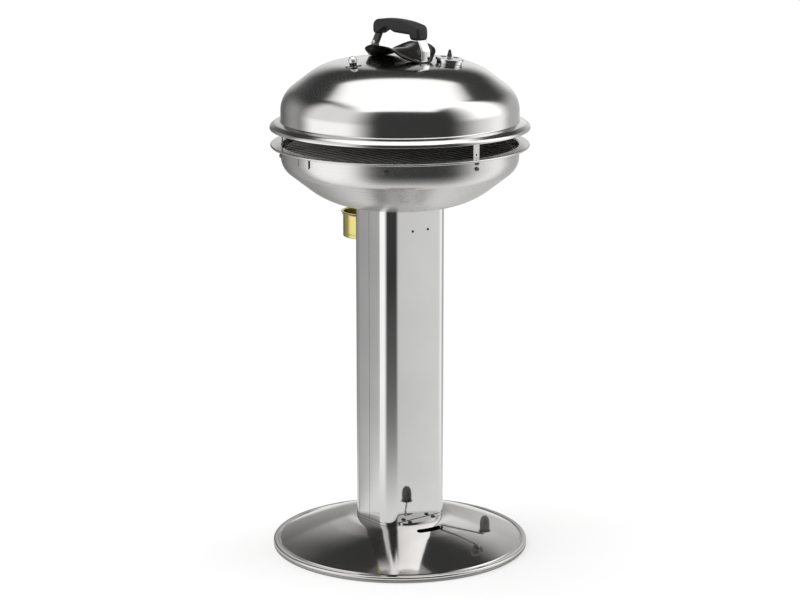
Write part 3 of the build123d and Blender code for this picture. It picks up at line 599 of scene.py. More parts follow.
LEG_H, NECK_IN, NECK_RISE, TANG, STRAP_LIFT = 20.0, 13.1, 23.0, 15.0, 1.4
foot_lift = STRAP_LIFT + STRAP_T / 2
toe, heel_z = FOOT_RHO - 10, tangent_z(LEG_RHO) + foot_lift
leg_top = heel_z + LEG_H
strap_line = [(toe, tangent_z(toe) + foot_lift), (LEG_RHO, heel_z), (LEG_RHO, leg_top)]
strap_line.append((LEG_RHO - NECK_IN * (1 + TANG / NECK_RISE), leg_top + NECK_RISE + TANG))
strap_line = rounded_path(strap_line, [3.0, 8.0], 6.0)
strap_loop = [*beside(strap_line, STRAP_T / 2), *reversed(beside(strap_line, -STRAP_T / 2))]
stand_up = Matrix(((0, 0, 1, 0), (1, 0, 0, 0), (0, 1, 0, 0), (0, 0, 0, 1)))
for label, turn in (("rear", 0.0), ("front", math.pi)):
    place = Matrix.Rotation(turn, 4, "Z") @ stand_up
    strap = extruded(f"handle_strip_{label}", strap_loop, -STRAP_W / 2, STRAP_W / 2, place)
    keep(bevelled(strap, 0.5), bright_trim, f"handle_strap_{label}")

# %% Handle grip
GRIP_Z, GRIP_HALF_L, GRIP_HALF_W, GRIP_PLAN_R, GRIP_END_R = 1005.0, 71.0, 14.0, 9.0, 3.0
GRIP_CORNER, GRIP_STEPS = 6.5, 90
grip_corners = [(-70.5, 0.0), (-68.0, 28.0), (-35.0, 33.5), (0.0, 35.5), (35.0, 34.5), (67.0, 30.0)]
grip_corners += [(70.5, 3.0), (56.0, 3.0), (29.6, 17.75), (6.0, 10.0), (-44.0, 9.5), (-47.0, 0.0)]
grip_radii = [5.0, 12.0, 180.0, 250.0, 180.0, 14.0, 6.0, 6.0, 4.0, 24.0, 3.0, 2.5]
grip_side = rounded_path([grip_corners[-1], *grip_corners, grip_corners[0]], grip_radii)[1:-1]
grip_front, grip_back = min(p.x for p in grip_side), max(p.x for p in grip_side)


def grip_span(y):
    """Lowest and highest point of the grip's side outline at one place along it."""
    heights = []
    for a, b in zip(grip_side, grip_side[1:] + grip_side[:1]):
        if min(a.x, b.x) <= y <= max(a.x, b.x) and abs(b.x - a.x) > 1e-9:
            heights.append(a.y + (b.y - a.y) * (y - a.x) / (b.x - a.x))
    return min(heights), max(heights)


def grip_section(y):
    """Rounded cross-section of the grip, a ring of points."""
    low, high = grip_span(min(max(y, grip_front + 0.2), grip_back - 0.2))
    over = max(abs(y) - (GRIP_HALF_L - GRIP_PLAN_R), 0.0)
    half = GRIP_HALF_W - GRIP_PLAN_R + math.sqrt(GRIP_PLAN_R**2 - over**2)
    depth = max(GRIP_END_R - min(y - grip_front, grip_back - y), 0.0)
    inset = GRIP_END_R - math.sqrt(GRIP_END_R**2 - depth**2)
    drop = min(inset, (high - low) / 2 - 0.8)
    half, low, high = half - inset, low + drop, high - drop
    corner = min(GRIP_CORNER, (high - low) / 2 - 0.5, half - 0.5)
    ring = []
    for cx, cz, start in ((1, 1, 0), (-1, 1, 90), (-1, -1, 180), (1, -1, 270)):
        centre = (cx * (half - corner), (high if cz > 0 else low) - cz * corner)
        ring += [(p.x, y, GRIP_Z + p.y) for p in arc(centre, corner, start, start + 90, 15.0)]
    return ring


grip_ends = [GRIP_END_R * (1 - math.cos(math.radians(a))) for a in (0, 20, 40, 60, 90)]
along = [grip_front + d for d in grip_ends]
first, last = grip_front + GRIP_END_R, grip_back - GRIP_END_R
along += [first + (last - first) * i / GRIP_STEPS for i in range(1, GRIP_STEPS)]
along += [grip_back - d for d in reversed(grip_ends)]
rings = [grip_section(y) for y in along]
caps = [[(0, ring[0][1], sum(p[2] for p in ring) / len(ring))] for ring in (rings[0], rings[-1])]
grip = ring_stack("grip", [caps[0], *rings, caps[1]], closed=False)
keep(grip, grip_plastic, "handle_grip", sharp=50.0)

# %% [markdown]
# ## Heat shield
# A black saddle of thin sheet under the grip. It is clamped flat under both strap feet, arches up
# between them, and its long edges curl upwards most near the ends. One formula gives the height
# along the middle, and a few stations give the half width and the curl.

# %% Heat shield
SHIELD_RISE, SHIELD_FLAT, SHIELD_T = 19.0, 12.0, 1.2
SHIELD_STATIONS = [(0.0, 48.0, 7.6), (16.0, 48.5, 10.8), (31.0, 49.0, 17.2), (45.0, 47.5, 19.0)]
SHIELD_STATIONS += [(52.0, 44.5, 17.8), (60.0, 38.0, 14.0), (67.0, 28.0, 8.0), (72.0, 21.5, 4.0)]
SHIELD_STATIONS.append((75.8, 17.0, 1.6))


def station(distance):
    """Half width and curl at a distance from the middle, read smoothly between stations."""
    rows = SHIELD_STATIONS
    i = max(k for k in range(len(rows) - 1) if rows[k][0] <= distance + 1e-9)
    before, a, b, after = rows[max(i - 1, 0)], rows[i], rows[i + 1], rows[min(i + 2, len(rows) - 1)]
    t = (distance - a[0]) / (b[0] - a[0])
    values = []
    for k in (1, 2):
        slope_a = (b[k] - before[k]) / (b[0] - before[0]) if i else 0.0
        slope_b = (after[k] - a[k]) / (after[0] - a[0])
        run = b[0] - a[0]
        h00, h10 = 2 * t**3 - 3 * t**2 + 1, t**3 - 2 * t**2 + t
        h01, h11 = 3 * t**2 - 2 * t**3, t**3 - t**2
        values.append(h00 * a[k] + h10 * run * slope_a + h01 * b[k] + h11 * run * slope_b)
    return values


shield_reach, clamp_y = SHIELD_STATIONS[-1][0], FOOT_RHO - 8
rows, columns = 60, 32
bm = bmesh.new()
grid = []
for i in range(rows + 1):
    y = -shield_reach + 2 * shield_reach * i / rows
    half, curl = station(abs(y))
    arch = 0.5 + 0.5 * math.cos(math.pi * min(abs(y) / clamp_y, 1.0))
    low = tangent_z(max(abs(y), clamp_y)) + 0.1 + SHIELD_RISE * arch
    bend = ((half - SHIELD_FLAT) ** 2 + curl**2) / (2 * curl)
    line = []
    for j in range(columns + 1):
        x = -half + 2 * half * j / columns
        past = max(abs(x) - SHIELD_FLAT, 0.0)
        z = low + bend - math.sqrt(max(bend**2 - past**2, 0.0))
        line.append(bm.verts.new((x * MM, y * MM, z * MM)))
    grid.append(line)
for a, b in zip(grid, grid[1:]):
    for j in range(columns):
        bm.faces.new((a[j], a[j + 1], b[j + 1], b[j]))
shield = from_bmesh("heat_saddle", bm)
wall = shield.modifiers.new("wall", "SOLIDIFY")
wall.thickness = SHIELD_T * MM
wall.offset = 1.0 if shield.data.polygons[0].normal.z > 0 else -1.0
wall.use_even_offset = True
keep(settled(shield), shield_enamel, "heat_shield", sharp=50.0)

# %% [markdown]
# ## Vent and lid hook bolt
# A low bright cap with three holes and a finger tab turns on a seat of the same kind. On the left
# of the crown a domed nut on a dark seal and a washer holds the hook inside the lid.

# %% Vent cap, seat and rivet
VENT_R, VENT_SEAT_R, VENT_H, VENT_RIM_H, VENT_SHEET, PIN_HOLE_R = 27.0, 24.5, 10.0, 4.5, 1.1, 2.6
cap_out = [(VENT_R, VENT_H - VENT_RIM_H), (VENT_R, VENT_H), (PIN_HOLE_R, VENT_H)]
cap_out = rounded_path(cap_out, [1.4], 12.0)
cap = spun("vent_disc", sheet_loop(cap_out, VENT_SHEET), 72, vent_frame)
cut(cap, *vent_holes(-2, 14))
tab_line = [(-4.8, -0.4), (4.8, -0.4), (3.6, 8.6), (2.6, 11.8), (0.8, 12.5), (-1.2, 11.9), (-2.4, 8.6)]
quarter = math.pi / 2
tab_turn = Matrix.Rotation(math.radians(VENT_TURN), 4, "Z") @ moved(VENT_R - 5, 0, VENT_H - 0.3)
tab_turn = tab_turn @ Matrix.Rotation(quarter, 4, "Z") @ Matrix.Rotation(quarter, 4, "X")
tab = bevelled(extruded("tab", tab_line, -0.8, 0.8, vent_frame @ tab_turn), 0.4)
keep(joined("vent_turning_cap", cap, tab), bright_trim, "vent_cap")
seat_top = VENT_H - SHEET - 0.4
seat_out = [(VENT_SEAT_R, 0), (VENT_SEAT_R, seat_top), (PIN_HOLE_R, seat_top)]
seat_out = rounded_path(seat_out, [1.2], 12.0)
seat = spun("vent_base", sheet_loop(seat_out, VENT_SHEET), 72, vent_frame)
cut(seat, *vent_holes(-2, 14))
keep(seat, bright_trim, "vent_seat")
pin_tail = [(0, 2.0), (4.2, 2.0), (5, 1.2), (5, 0.1), (2.5, 0.1)]
pin = [(r, -SHEET - z) for r, z in pin_tail]
pin_head = [(2.5, 0.1), (5, 0.1), (4.7, 0.8), (3.2, 1.3), (0, 1.6)]
pin += [(r, VENT_H + z) for r, z in pin_head]
keep(spun("vent_pin", pin, 32, vent_frame), bright_trim, "vent_rivet")

# %% Domed nut, seal and washer of the lid hook
hook_frame = crown_frame(180.0, 112.0)
washer_line = [(3.1, 0.1), (14.7, 0.1), (15.4, 0.5), (15.4, 0.9), (14.4, 1.3), (9.0, 1.5), (3.1, 1.5)]
keep(spun("hook_cup_washer", washer_line, 48, hook_frame), bright_trim, "hook_washer")
seal_line = [(3.1, 1.5), (6.6, 1.5), (7.4, 4.2), (6.4, 7.0), (3.1, 7.0)]
seal_line = rounded_path(seal_line, [0.8, 2.5, 0.8], 15.0)
keep(spun("hook_ring_seal", seal_line, 40, hook_frame), seal_rubber, "hook_seal")
BROW = 10.0
dome = arc((0, BROW), 8.5, 0, 90, 7.5)
dome[-1].x = 0.0
nut_line = [(3.05, 7.0), (7.9, 7.0), (8.5, 7.6), *dome, (0, BROW + 4), (3.05, BROW + 4)]
keep(spun("hook_domed_nut", nut_line, 48, hook_frame), nut_satin, "hook_nut")

# %% [markdown]
# ## Damper lever
# A bent wire comes up through the slot in the base and ends in an upright grey rubber tip over a
# washer. Under the base it is welded to a flat paddle.

# %% Lever, tip and washer
TIP_X, TIP_Y, TIP_Z, TIP_R, TIP_H, LEVER_WIRE_R = 68.0, -180.0, 55.0, 9.5, 30.0, 2.2
DAMPER_R, disc_low = 48.0, 57.0
wire_z = disc_low - PLATE - LEVER_WIRE_R + 0.9
low_z = wire_z - 8.5
lever_turn = Matrix.Rotation(math.radians(LEVER_ANGLE), 4, "Z")
hand_x, hand_y, _ = lever_turn.inverted() @ Vector((TIP_X, TIP_Y, 0))
lever_line = [(0, -27, wire_z), (0, -DAMPER_R, wire_z), (0, -DAMPER_R - 10, low_z), (0, -SLOT_R, low_z)]
lever_line += [(0, -SLOT_R, BASE_TOP_Z + 1), (hand_x, hand_y, TIP_Z - 7.5)]
lever_line.append((hand_x, hand_y, TIP_Z + TIP_H * 0.6))
lever_line = rounded_path(lever_line, [5, 5, 5, 4, 4.2], 9.0)
rod = wire("lever_rod", lever_line, LEVER_WIRE_R)
rod.data.transform(lever_turn)
paddle = extruded("paddle", box_line(-5.5, -DAMPER_R, 5.5, -12), disc_low - PLATE, disc_low, lever_turn)
keep(joined("lever_wire", rod, bevelled(paddle, 0.4)), plated_wire, "damper_lever")
tip_place = moved(TIP_X, TIP_Y, TIP_Z)
TIP_BEND, TIP_POWER = 12.0, 2.3
tip_line = [(2.3, 0), (TIP_R - 0.8, 0), (TIP_R, 0.8)]
for i in range(13):
    rise = math.sin(math.pi / 2 * i / 12)
    r = TIP_R * max(1 - rise**TIP_POWER, 0.0) ** (1 / TIP_POWER)
    tip_line.append((r if i < 12 else 0.0, TIP_BEND + rise * (TIP_H - TIP_BEND)))
tip_line += [(0, TIP_H * 0.62), (2.3, TIP_H * 0.62)]
keep(spun("lever_finger_tip", tip_line, 40, tip_place), tip_rubber, "lever_tip", sharp=50.0)
ring_line = [(2.4, -1.2), (11.6, -1.2), (12, -0.9), (12, -0.3), (11.6, 0), (2.4, 0)]
keep(spun("lever_ring", ring_line, 40, tip_place), zinc, "lever_washer")

# %% [markdown]
# ## Grease cup
# A drawn tin cup with a rolled lip, hung behind the column. A shallow groove near the bottom
# stiffens it. It is a section turned round its own axis.

# %% Grease cup
CUP_R, CUP_LIP, CUP_TOP, CUP_LOW, CUP_Y, CUP_SHEET = 45.0, 4.0, 655.0, 604.0, 108.0, 1.0
lip_r = CUP_R + CUP_LIP - CUP_SHEET
cup_line = [(0, CUP_LOW), (CUP_R, CUP_LOW), (CUP_R, CUP_LOW + 6), (CUP_R - 0.7, CUP_LOW + 7.5)]
cup_line += [(CUP_R, CUP_LOW + 9), (CUP_R, CUP_TOP - SHEET), (lip_r, CUP_TOP - SHEET)]
cup_line = rounded_path(cup_line, [2.5, 1.0, 1.0, 1.0, 0.8], 10.0)
cup_bead = arc((lip_r, CUP_TOP - CUP_SHEET), CUP_SHEET, 200, 450, 25.0)[1:]
cup = spun("grease_tin", sheet_loop(cup_line, CUP_SHEET, cup_bead), 96, moved(0, CUP_Y))
keep(cup, gold_tin, "grease_cup")

# %% [markdown]
# ## Grates
# Both grates follow one rule: a ring, a row of bars across it, each as long as the ring is wide
# there, and two cross bars. Geometry Nodes suit that. One tree makes either grate from its radius,
# wire sizes and pitch: each point of a row carries a unit line, stretched to the chord.


# %% Grate tree
def new_tree(name, inputs):
    """Geometry tree with named inputs."""
    tree = bpy.data.node_groups.new(name, "GeometryNodeTree")
    tree.interface.new_socket("Geometry", in_out="INPUT", socket_type="NodeSocketGeometry")
    for label, kind in inputs.items():
        tree.interface.new_socket(label, in_out="INPUT", socket_type="NodeSocket" + kind)
    tree.interface.new_socket("Geometry", in_out="OUTPUT", socket_type="NodeSocketGeometry")
    return tree, tree.nodes.new("NodeGroupInput").outputs


def grown(name, tree, values, source=None):
    """Plain mesh from a tree; inputs are set by identifier before the first evaluation."""
    obj = new_object(name, source or bpy.data.meshes.new(name))
    made = obj.modifiers.new("grown", "NODES")
    made.node_group = tree
    for item in tree.interface.items_tree:
        if item.in_out == "INPUT" and item.name in values:
            made[item.identifier] = values[item.name]
    return settled(obj)


def chord_half(tree, radius, offset):
    """Half the chord of a circle at an offset from its centre."""
    inner = maths(tree, "SUBTRACT", maths(tree, "POWER", radius, 2.0), maths(tree, "POWER", offset, 2.0))
    return maths(tree, "SQRT", inner)


def drawn_wire(tree, curve, radius):
    """Curve given a round section."""
    section = add(tree, "GeometryNodeCurvePrimitiveCircle", {"Resolution": 10, "Radius": radius})
    feed = {"Curve": curve, "Profile Curve": section.outputs[0], "Fill Caps": True}
    return add(tree, "GeometryNodeCurveToMesh", feed).outputs[0]


def chord_row(tree, count, start, pitch, radius, along):
    """Row of unit lines, each stretched to its chord; along is the axis of the lines, 0 or 1."""
    across = 1 - along
    ends = {"Start": [0.0, 0.0, 0.0], "End": [0.0, 0.0, 0.0]}
    ends["Start"][along], ends["End"][along] = -1.0, 1.0
    line = add(tree, "GeometryNodeCurvePrimitiveLine", ends).outputs[0]
    begin = xyz(tree, {across: start})
    stride = xyz(tree, {across: pitch})
    feed = {"Count": count, "Start Location": begin, "Offset": stride}
    row = add(tree, "GeometryNodeMeshLine", feed).outputs[0]
    spot = add(tree, "GeometryNodeInputPosition").outputs[0]
    offset = add(tree, "ShaderNodeSeparateXYZ", {0: spot}).outputs[across]
    half = chord_half(tree, radius, offset)
    stretch = xyz(tree, {0: 1.0, 1: 1.0, 2: 1.0, along: half})
    feed = {"Points": row, "Instance": line, "Scale": stretch}
    lines = add(tree, "GeometryNodeInstanceOnPoints", feed).outputs[0]
    return add(tree, "GeometryNodeRealizeInstances", {0: lines}).outputs[0]


def raised(tree, geometry, height):
    lift = xyz(tree, {"Z": height})
    return add(tree, "GeometryNodeTransform", {"Geometry": geometry, "Translation": lift}).outputs[0]


def close_tree(tree, geometry, finish):
    """Last nodes of a tree: the finish, then the output."""
    dressed = add(tree, "GeometryNodeSetMaterial", {"Geometry": geometry, "Material": finish}).outputs[0]
    tree.links.new(dressed, add(tree, "NodeGroupOutput").inputs[0])
    print(tree.name, "tree:", len(tree.nodes), "nodes")


labels = ["Ring radius", "Ring height", "Ring wire", "Bar wire", "Bar pitch", "Bar start", "Bar height"]
labels += ["Cross pitch", "Cross start", "Cross height"]
kinds = dict.fromkeys(labels, "Float") | {"Bars": "Int", "Finish": "Material"}
grate_tree, given = new_tree("wire_grate", kinds)
tree, ring_r = grate_tree, given["Ring radius"]
ring = add(tree, "GeometryNodeCurvePrimitiveCircle", {"Resolution": 128, "Radius": ring_r}).outputs[0]
parts = [raised(tree, drawn_wire(tree, ring, given["Ring wire"]), given["Ring height"])]
for row, count, along in (("Bar", given["Bars"], 1), ("Cross", 2, 0)):
    rods = chord_row(tree, count, given[row + " start"], given[row + " pitch"], ring_r, along)
    parts.append(raised(tree, drawn_wire(tree, rods, given["Bar wire"]), given[row + " height"]))
union = add(tree, "GeometryNodeJoinGeometry")
for part in parts:
    tree.links.new(part, union.inputs[0])
close_tree(tree, union.outputs[0], given["Finish"])

# %% Both grates
COOK_Z, COAL_Z, RING_WIRE, WELD, BAR_PITCH = 790.8, 707.15, 3.0, 0.9, 16.0


def wire_grate(name, radius, height, bar, cross, finish):
    """Grate of one ring, with as many bars as fit inside it and two cross bars welded under them."""
    each_side = int((radius - 6) / BAR_PITCH)
    bar_z = height + RING_WIRE + bar - WELD
    sizes = {"Ring radius": radius, "Ring height": height, "Ring wire": RING_WIRE, "Bar wire": bar}
    sizes |= {"Bar start": -each_side * BAR_PITCH, "Bar pitch": BAR_PITCH, "Bar height": bar_z}
    sizes |= {"Cross start": -cross, "Cross pitch": 2 * cross, "Cross height": bar_z - 2 * bar + WELD}
    values = {label: size * MM for label, size in sizes.items()}
    return grown(name, grate_tree, values | {"Bars": 2 * each_side + 1, "Finish": finish})


cooking = wire_grate("cooking_wires", 214.0, COOK_Z, 2.0, 78.0, grate_enamel)
keep(cooking, grate_enamel, "cooking_grate")
charcoal = wire_grate("charcoal_wires", 150.0, COAL_Z, 2.4, 60.0, plated_wire)
keep(charcoal, plated_wire, "charcoal_grate")

# %% [markdown]
# ## Screws, nuts and rivets
# Fasteners repeat, so each kind is drawn once and a tree puts it on points that carry a direction.
# Every one is also turned about its own axis by a seeded random angle, because no fitter lines
# them up.

# %% Fastener tree
kinds = {"Fastener": "Object", "Seed": "Int", "Finish": "Material"}
fastener_tree, given = new_tree("fastener_set", kinds)
tree = fastener_tree
facing = add(tree, "GeometryNodeInputNamedAttribute", {"Name": "axis"}, data_type="FLOAT_VECTOR")
aim = add(tree, "FunctionNodeAlignRotationToVector", {"Vector": facing.outputs[0]}, axis="Z").outputs[0]
chance = add(tree, "FunctionNodeRandomValue", {"Seed": given["Seed"]}, data_type="FLOAT")
chance.inputs[3].default_value = 2 * math.pi
spin = xyz(tree, {"Z": chance.outputs[1]})
twist = add(tree, "FunctionNodeEulerToRotation", {0: spin}).outputs[0]
turned = add(tree, "FunctionNodeRotateRotation", {0: aim, 1: twist}, rotation_space="LOCAL").outputs[0]
shape = add(tree, "GeometryNodeObjectInfo", {"Object": given["Fastener"]}).outputs["Geometry"]
feed = {"Points": given["Geometry"], "Instance": shape, "Rotation": turned}
placed = add(tree, "GeometryNodeInstanceOnPoints", feed).outputs[0]
real = add(tree, "GeometryNodeRealizeInstances", {0: placed}).outputs[0]
close_tree(tree, real, given["Finish"])


def fastener_set(node, pattern, spots, finish, seed):
    """One pattern on every (point, direction); the pattern is removed afterwards."""
    name = node[:-1] + "_set"
    points = bpy.data.meshes.new(name)
    points.from_pydata([Vector(p) * MM for p, _ in spots], [], [])
    axis = points.attributes.new("axis", "FLOAT_VECTOR", "POINT")
    axis.data.foreach_set("vector", [c for _, d in spots for c in d])
    made = grown(name, fastener_tree, {"Fastener": pattern, "Seed": seed, "Finish": finish}, points)
    bpy.data.objects.remove(pattern)
    keep(made, finish, node)


# %% Patterns, with the seat at zero and the head along Z
def screw(head_r, head_h, shank_r, shank_l, recess=0.0):
    """Pan head on a plain shank, with a cross recess."""
    line = [(0, -shank_l), (shank_r - 0.4, -shank_l), (shank_r, -shank_l + 0.5), (shank_r, 0)]
    line += [(head_r - 0.3, 0), (head_r, 0.3), (head_r, 0.3 * head_h), (0.93 * head_r, 0.62 * head_h)]
    line += [(0.72 * head_r, 0.88 * head_h), (0.4 * head_r, head_h), (0, head_h)]
    made = spun("screw", line, 24)
    if recess:
        half, deep = 0.16 * head_r, 0.45 * head_h
        for turn in (0.0, math.pi / 2):
            bar, place = box_line(-recess, -half, recess, half), Matrix.Rotation(turn, 4, "Z")
            cut(made, extruded("recess", bar, head_h - deep, head_h + 1, place))
    return made


def hex_nut(flats, height, bore):
    """Nut with chamfered corners and a plain bore."""
    apothem, steps = flats / 2, 36
    rings = [[], [], [], [], [], []]
    for i in range(steps):
        t = 2 * math.pi * i / steps
        side = apothem / math.cos((t + math.pi / 6) % (math.pi / 3) - math.pi / 6)
        drop = 0.58 * (side - apothem)
        rows = ((side, 0.0), (side, height - drop), (apothem * 0.98, height), (bore + 0.3, height))
        rows += ((bore, height - 0.3), (bore, 0.0))
        for ring, (r, z) in zip(rings, rows):
            ring.append((r * math.cos(t), r * math.sin(t), z))
    return ring_stack("nut", rings)


def on_wall(angles, rho, heights, way=1):
    """Spots on an upright cylinder, facing out or, with a way of -1, in."""
    outs = [Vector((*on_circle(1.0, angle), 0)) for angle in angles]
    return [(out * rho + Vector((0, 0, z)), out * way) for out in outs for z in heights]


def on_level(corners, z, way=1):
    """Spots on a level face, facing up or, with a way of -1, down."""
    return [(Vector((x, y, z)), Vector((0, 0, way))) for x, y in corners]


print("fastener patterns ready")

# %% Fasteners of the stand
BRACKET_ANGLES, GRATE_BOLT_ANGLES = (270.0, 150.0, 30.0), (105.0, 225.0, 345.0)
wall_in = WALL_R - SHEET
bracket_in = wall_in - 0.2 - PLATE
levels = (RIM_Z - 9.5, RIM_Z - 20.5)
bracket_screw = screw(4.0, 4.0, 2.0, WALL_R - bracket_in + 5, 2.4)
fastener_set("bracket_screws", bracket_screw, on_wall(BRACKET_ANGLES, WALL_R, levels), zinc, 3)
spots = on_wall(BRACKET_ANGLES, bracket_in, levels, -1)
fastener_set("bracket_nuts", hex_nut(7.0, 3.2, 2.05), spots, zinc, 4)
BOLT_HEAD_R, bolt_level = 210.0, (RIM_Z - 18.5,)
grate_bolt = screw(4.5, 3.5, 2.5, WALL_R + 5.5 - BOLT_HEAD_R, 2.6)
spots = on_wall(GRATE_BOLT_ANGLES, BOLT_HEAD_R, bolt_level, -1)
fastener_set("grate_bolts", grate_bolt, spots, zinc, 5)
spots = on_wall(GRATE_BOLT_ANGLES, WALL_R + 0.05, bolt_level)
spots += on_wall(GRATE_BOLT_ANGLES, wall_in - 0.2, bolt_level, -1)
fastener_set("grate_nuts", hex_nut(8.0, 4.0, 2.55), spots, zinc, 6)
foot = [(x, y) for x in (-29.0, 29.0) for y in (-68.3, 68.3)]
foot_bolt = screw(4.4, 2.2, 2.5, COLUMN_Z - BASE_TOP_Z + SHEET + 6, 2.6)
fastener_set("foot_bolts", foot_bolt, on_level(foot, COLUMN_Z), black_oxide, 7)
fastener_set("foot_nuts", hex_nut(8.0, 4.0, 2.55), on_level(foot, BASE_TOP_Z - SHEET, -1), zinc, 8)
holes = [(x, y) for x in (-52.0, 52.0) for y in (-33.0, 33.0)]
bowl_bolt = screw(6.5, 3.0, 3.0, SHEET + PLATE + 8, 3.6)
fastener_set("bowl_bolts", bowl_bolt, on_level(holes, BOWL_Z + SHEET), zinc, 9)
fastener_set("bowl_nuts", hex_nut(10.0, 5.0, 3.05), on_level(holes, BOWL_Z - PLATE, -1), zinc, 10)
rivet_x, rivet_z = (-14.5, 22.5), BOWL_Z - 44.0
spots = [(Vector((x, -half_d, rivet_z)), Vector((0, -1, 0))) for x in rivet_x]
spots += [(Vector((x, half_d + PLATE, rivet_z)), Vector((0, 1, 0))) for x in rivet_x]
fastener_set("column_rivets", screw(2.6, 1.2, 1.6, 5.0), spots, black_oxide, 11)

# %% Fasteners of the handle
clamp_top = foot_lift + STRAP_T / 2
feet = [crown_frame(angle, FOOT_RHO) for angle in (90.0, 270.0)]
spots = [((f.translation + f.col[2].xyz * clamp_top * MM) / MM, f.col[2].xyz) for f in feet]
fastener_set("handle_nuts", hex_nut(10.0, 4.4, 3.0), spots, zinc, 12)
handle_bolt = screw(5.5, 3.0, 2.95, clamp_top + 5.6 + SHEET, 3.2)
spots = [((f.translation - f.col[2].xyz * (SHEET + 0.1) * MM) / MM, -f.col[2].xyz) for f in feet]
fastener_set("handle_bolts", handle_bolt, spots, zinc, 13)

# %% [markdown]
# ## Plain pieces that stay
# Flat plates, strips and hidden parts have the right shape as they come. They only get a finish.

# %% Finishes on the remaining nodes
FINISH_OF_SLOT = {
    "polished_steel": column_steel,
    "satin_steel": bowl_steel,
    "plain_steel": plain_steel,
    "bright_trim": bright_trim,
    "plated_fasteners": zinc,
    "black_fasteners": black_oxide,
    "plated_wire": plated_wire,
    "dark_rubber": seal_rubber,
}
for name, obj in frame["nodes"].items():
    if not obj.hide_render:
        obj.data.materials.clear()
        bright = name.startswith("lid_bracket")
        obj.data.materials.append(bracket_steel if bright else FINISH_OF_SLOT[slot_of_node[name]])
        print("kept:", name)

# %% [markdown]
# ## Studio
# Bright metal shows the room. The room here is a dome that only reflections see: a tall white
# panel on the left, a pale wall on the right, dark in front and above, and a long white panel
# overhead. The values are painted on the dome's points by a rule of angles, not by a picture.
# Lamps light the plastic, the rubber and the floor.

# %% Camera
AZIMUTH, PITCH, FAR = math.radians(38.4), math.radians(13.03), 4.62
toward = Vector((-math.sin(AZIMUTH), -math.cos(AZIMUTH), 0))
right = Vector((math.cos(AZIMUTH), -math.sin(AZIMUTH), 0))
camera = new_object("camera", bpy.data.cameras.new("camera"))
camera.location = toward * FAR + Vector((0, 0, 1.562))
look = -toward * math.cos(PITCH) - Vector((0, 0, math.sin(PITCH)))
camera.rotation_euler = look.to_track_quat("-Z", "Y").to_euler()
camera.data.sensor_width = 36.0
camera.data.lens = 109.5
scene.camera = camera
print("camera at", [round(c, 3) for c in camera.location])


def bearing(turn):
    """Level direction at a turn in degrees from the camera, positive to its right."""
    t = math.radians(turn)
    return toward * math.cos(t) + right * math.sin(t)


def stage_tree(holder):
    """Empty node tree of a stage material or the world."""
    holder.use_nodes = True
    holder.node_tree.nodes.clear()
    return holder.node_tree


# %% Reflected room
def ramp(value, start, end):
    t = min(max((value - start) / (end - start), 0.0), 1.0)
    return t * t * (3 - 2 * t)


def window(value, low, high, edge):
    half = edge / 2
    return ramp(value, low - half, low + half) * (1 - ramp(value, high - half, high + half))


def room_light(turn, rise, along, aside):
    """Brightness of the room: turn and rise in degrees, along and aside on the ceiling."""
    light = 0.05
    left_panel = 1.3 * ramp(turn, -110, -87) * (1 - ramp(turn, -52, -20)) * (1 - ramp(rise, 42, 56))
    light += left_panel * (1 - 0.28 * ramp(rise, -4, 6))
    left_rear = 0.34 * ramp(-turn, 95, 115) * (1 - 0.7 * ramp(-turn, 118, 150))
    light += left_rear * (1 - ramp(rise, 8, 35))
    right_wall = 1.2 * ramp(turn, 46, 88) * (1 - 0.6 * ramp(turn, 106, 126)) * (1 - ramp(turn, 160, 180))
    low = 0.8 + 0.2 * ramp(turn, 84, 102)
    right_wall *= low + (1.5 - low) * ramp(rise, 0, 12) * (1 - ramp(turn, 100, 115))
    top = 57 - 42 * ramp(turn, 100, 125)
    light += right_wall * (1 - ramp(rise, top - 7, top + 16))
    rear = (0.25 + 0.47 * ramp(rise, -2, 4)) * (1 - ramp(rise, 15, 36))
    light += rear * ramp(abs(turn), 150, 174)
    if rise > 20:
        sheet = ramp(aside, -0.85, -0.5) * (1 - ramp(aside, 0.5, 0.78))
        light += 1.5 * sheet * window(along, -0.47, 0.8, 0.1)
    return light


def floor_light(turn, reach):
    """Brightness of the floor in reflections: lit pale near the grill, like the walls further out, with
    a painted shadow under the base.
    """
    # Painted shadow: under the base the reflected floor is black, and a narrow band of turns on the left
    # is a little darker.
    pale = (0.92 - 0.4 * window(-turn, 97, 111, 8)) * ramp(reach, 0.24, 0.27)
    wall = room_light(turn, -8.0, 0.0, 0.0)
    return wall + (pale - wall) / (1 + (max(reach - 0.27, 0.0) / 0.42) ** 2)


ROOM_R, ROOM_H, EYE_Z = 2.5, 2.7, 0.85
AROUND, UPWARD = 240, 60
FLOOR_RINGS = (2.0, 1.7, 1.45, 1.25, 1.1, 0.95, 0.8, 0.7, 0.6, 0.5, 0.4, 0.32, 0.27, 0.25, 0.24, 0.0)
turns = [-180 + 360 * i / AROUND for i in range(AROUND)]
bm = bmesh.new()
glow = []
rings = []
for j in range(UPWARD + 1):
    e = math.pi / 2 * j / UPWARD
    z = ROOM_H * math.sin(e)
    ring = []
    for turn in turns if j < UPWARD else turns[:1]:
        flat = bearing(turn) * ROOM_R * math.cos(e)
        ring.append(bm.verts.new(flat + Vector((0, 0, z))))
        high = max(z - EYE_Z, 1e-3)
        rise = math.degrees(math.atan2(z - EYE_Z, flat.length))
        glow.append(room_light(turn, rise, flat.dot(toward) / high, flat.dot(right) / high))
    rings.append(ring)
lower = [rings[0]]
for reach in FLOOR_RINGS:
    around = turns if reach else turns[:1]
    lower.append([bm.verts.new(bearing(turn) * reach) for turn in around])
    glow += [floor_light(turn, reach) for turn in around]
skin(bm, rings)
skin(bm, lower)
room = as_object("reflected_room", bm)
mesh = room.data
mesh.attributes.new("glow", "FLOAT", "POINT").data.foreach_set("value", glow)
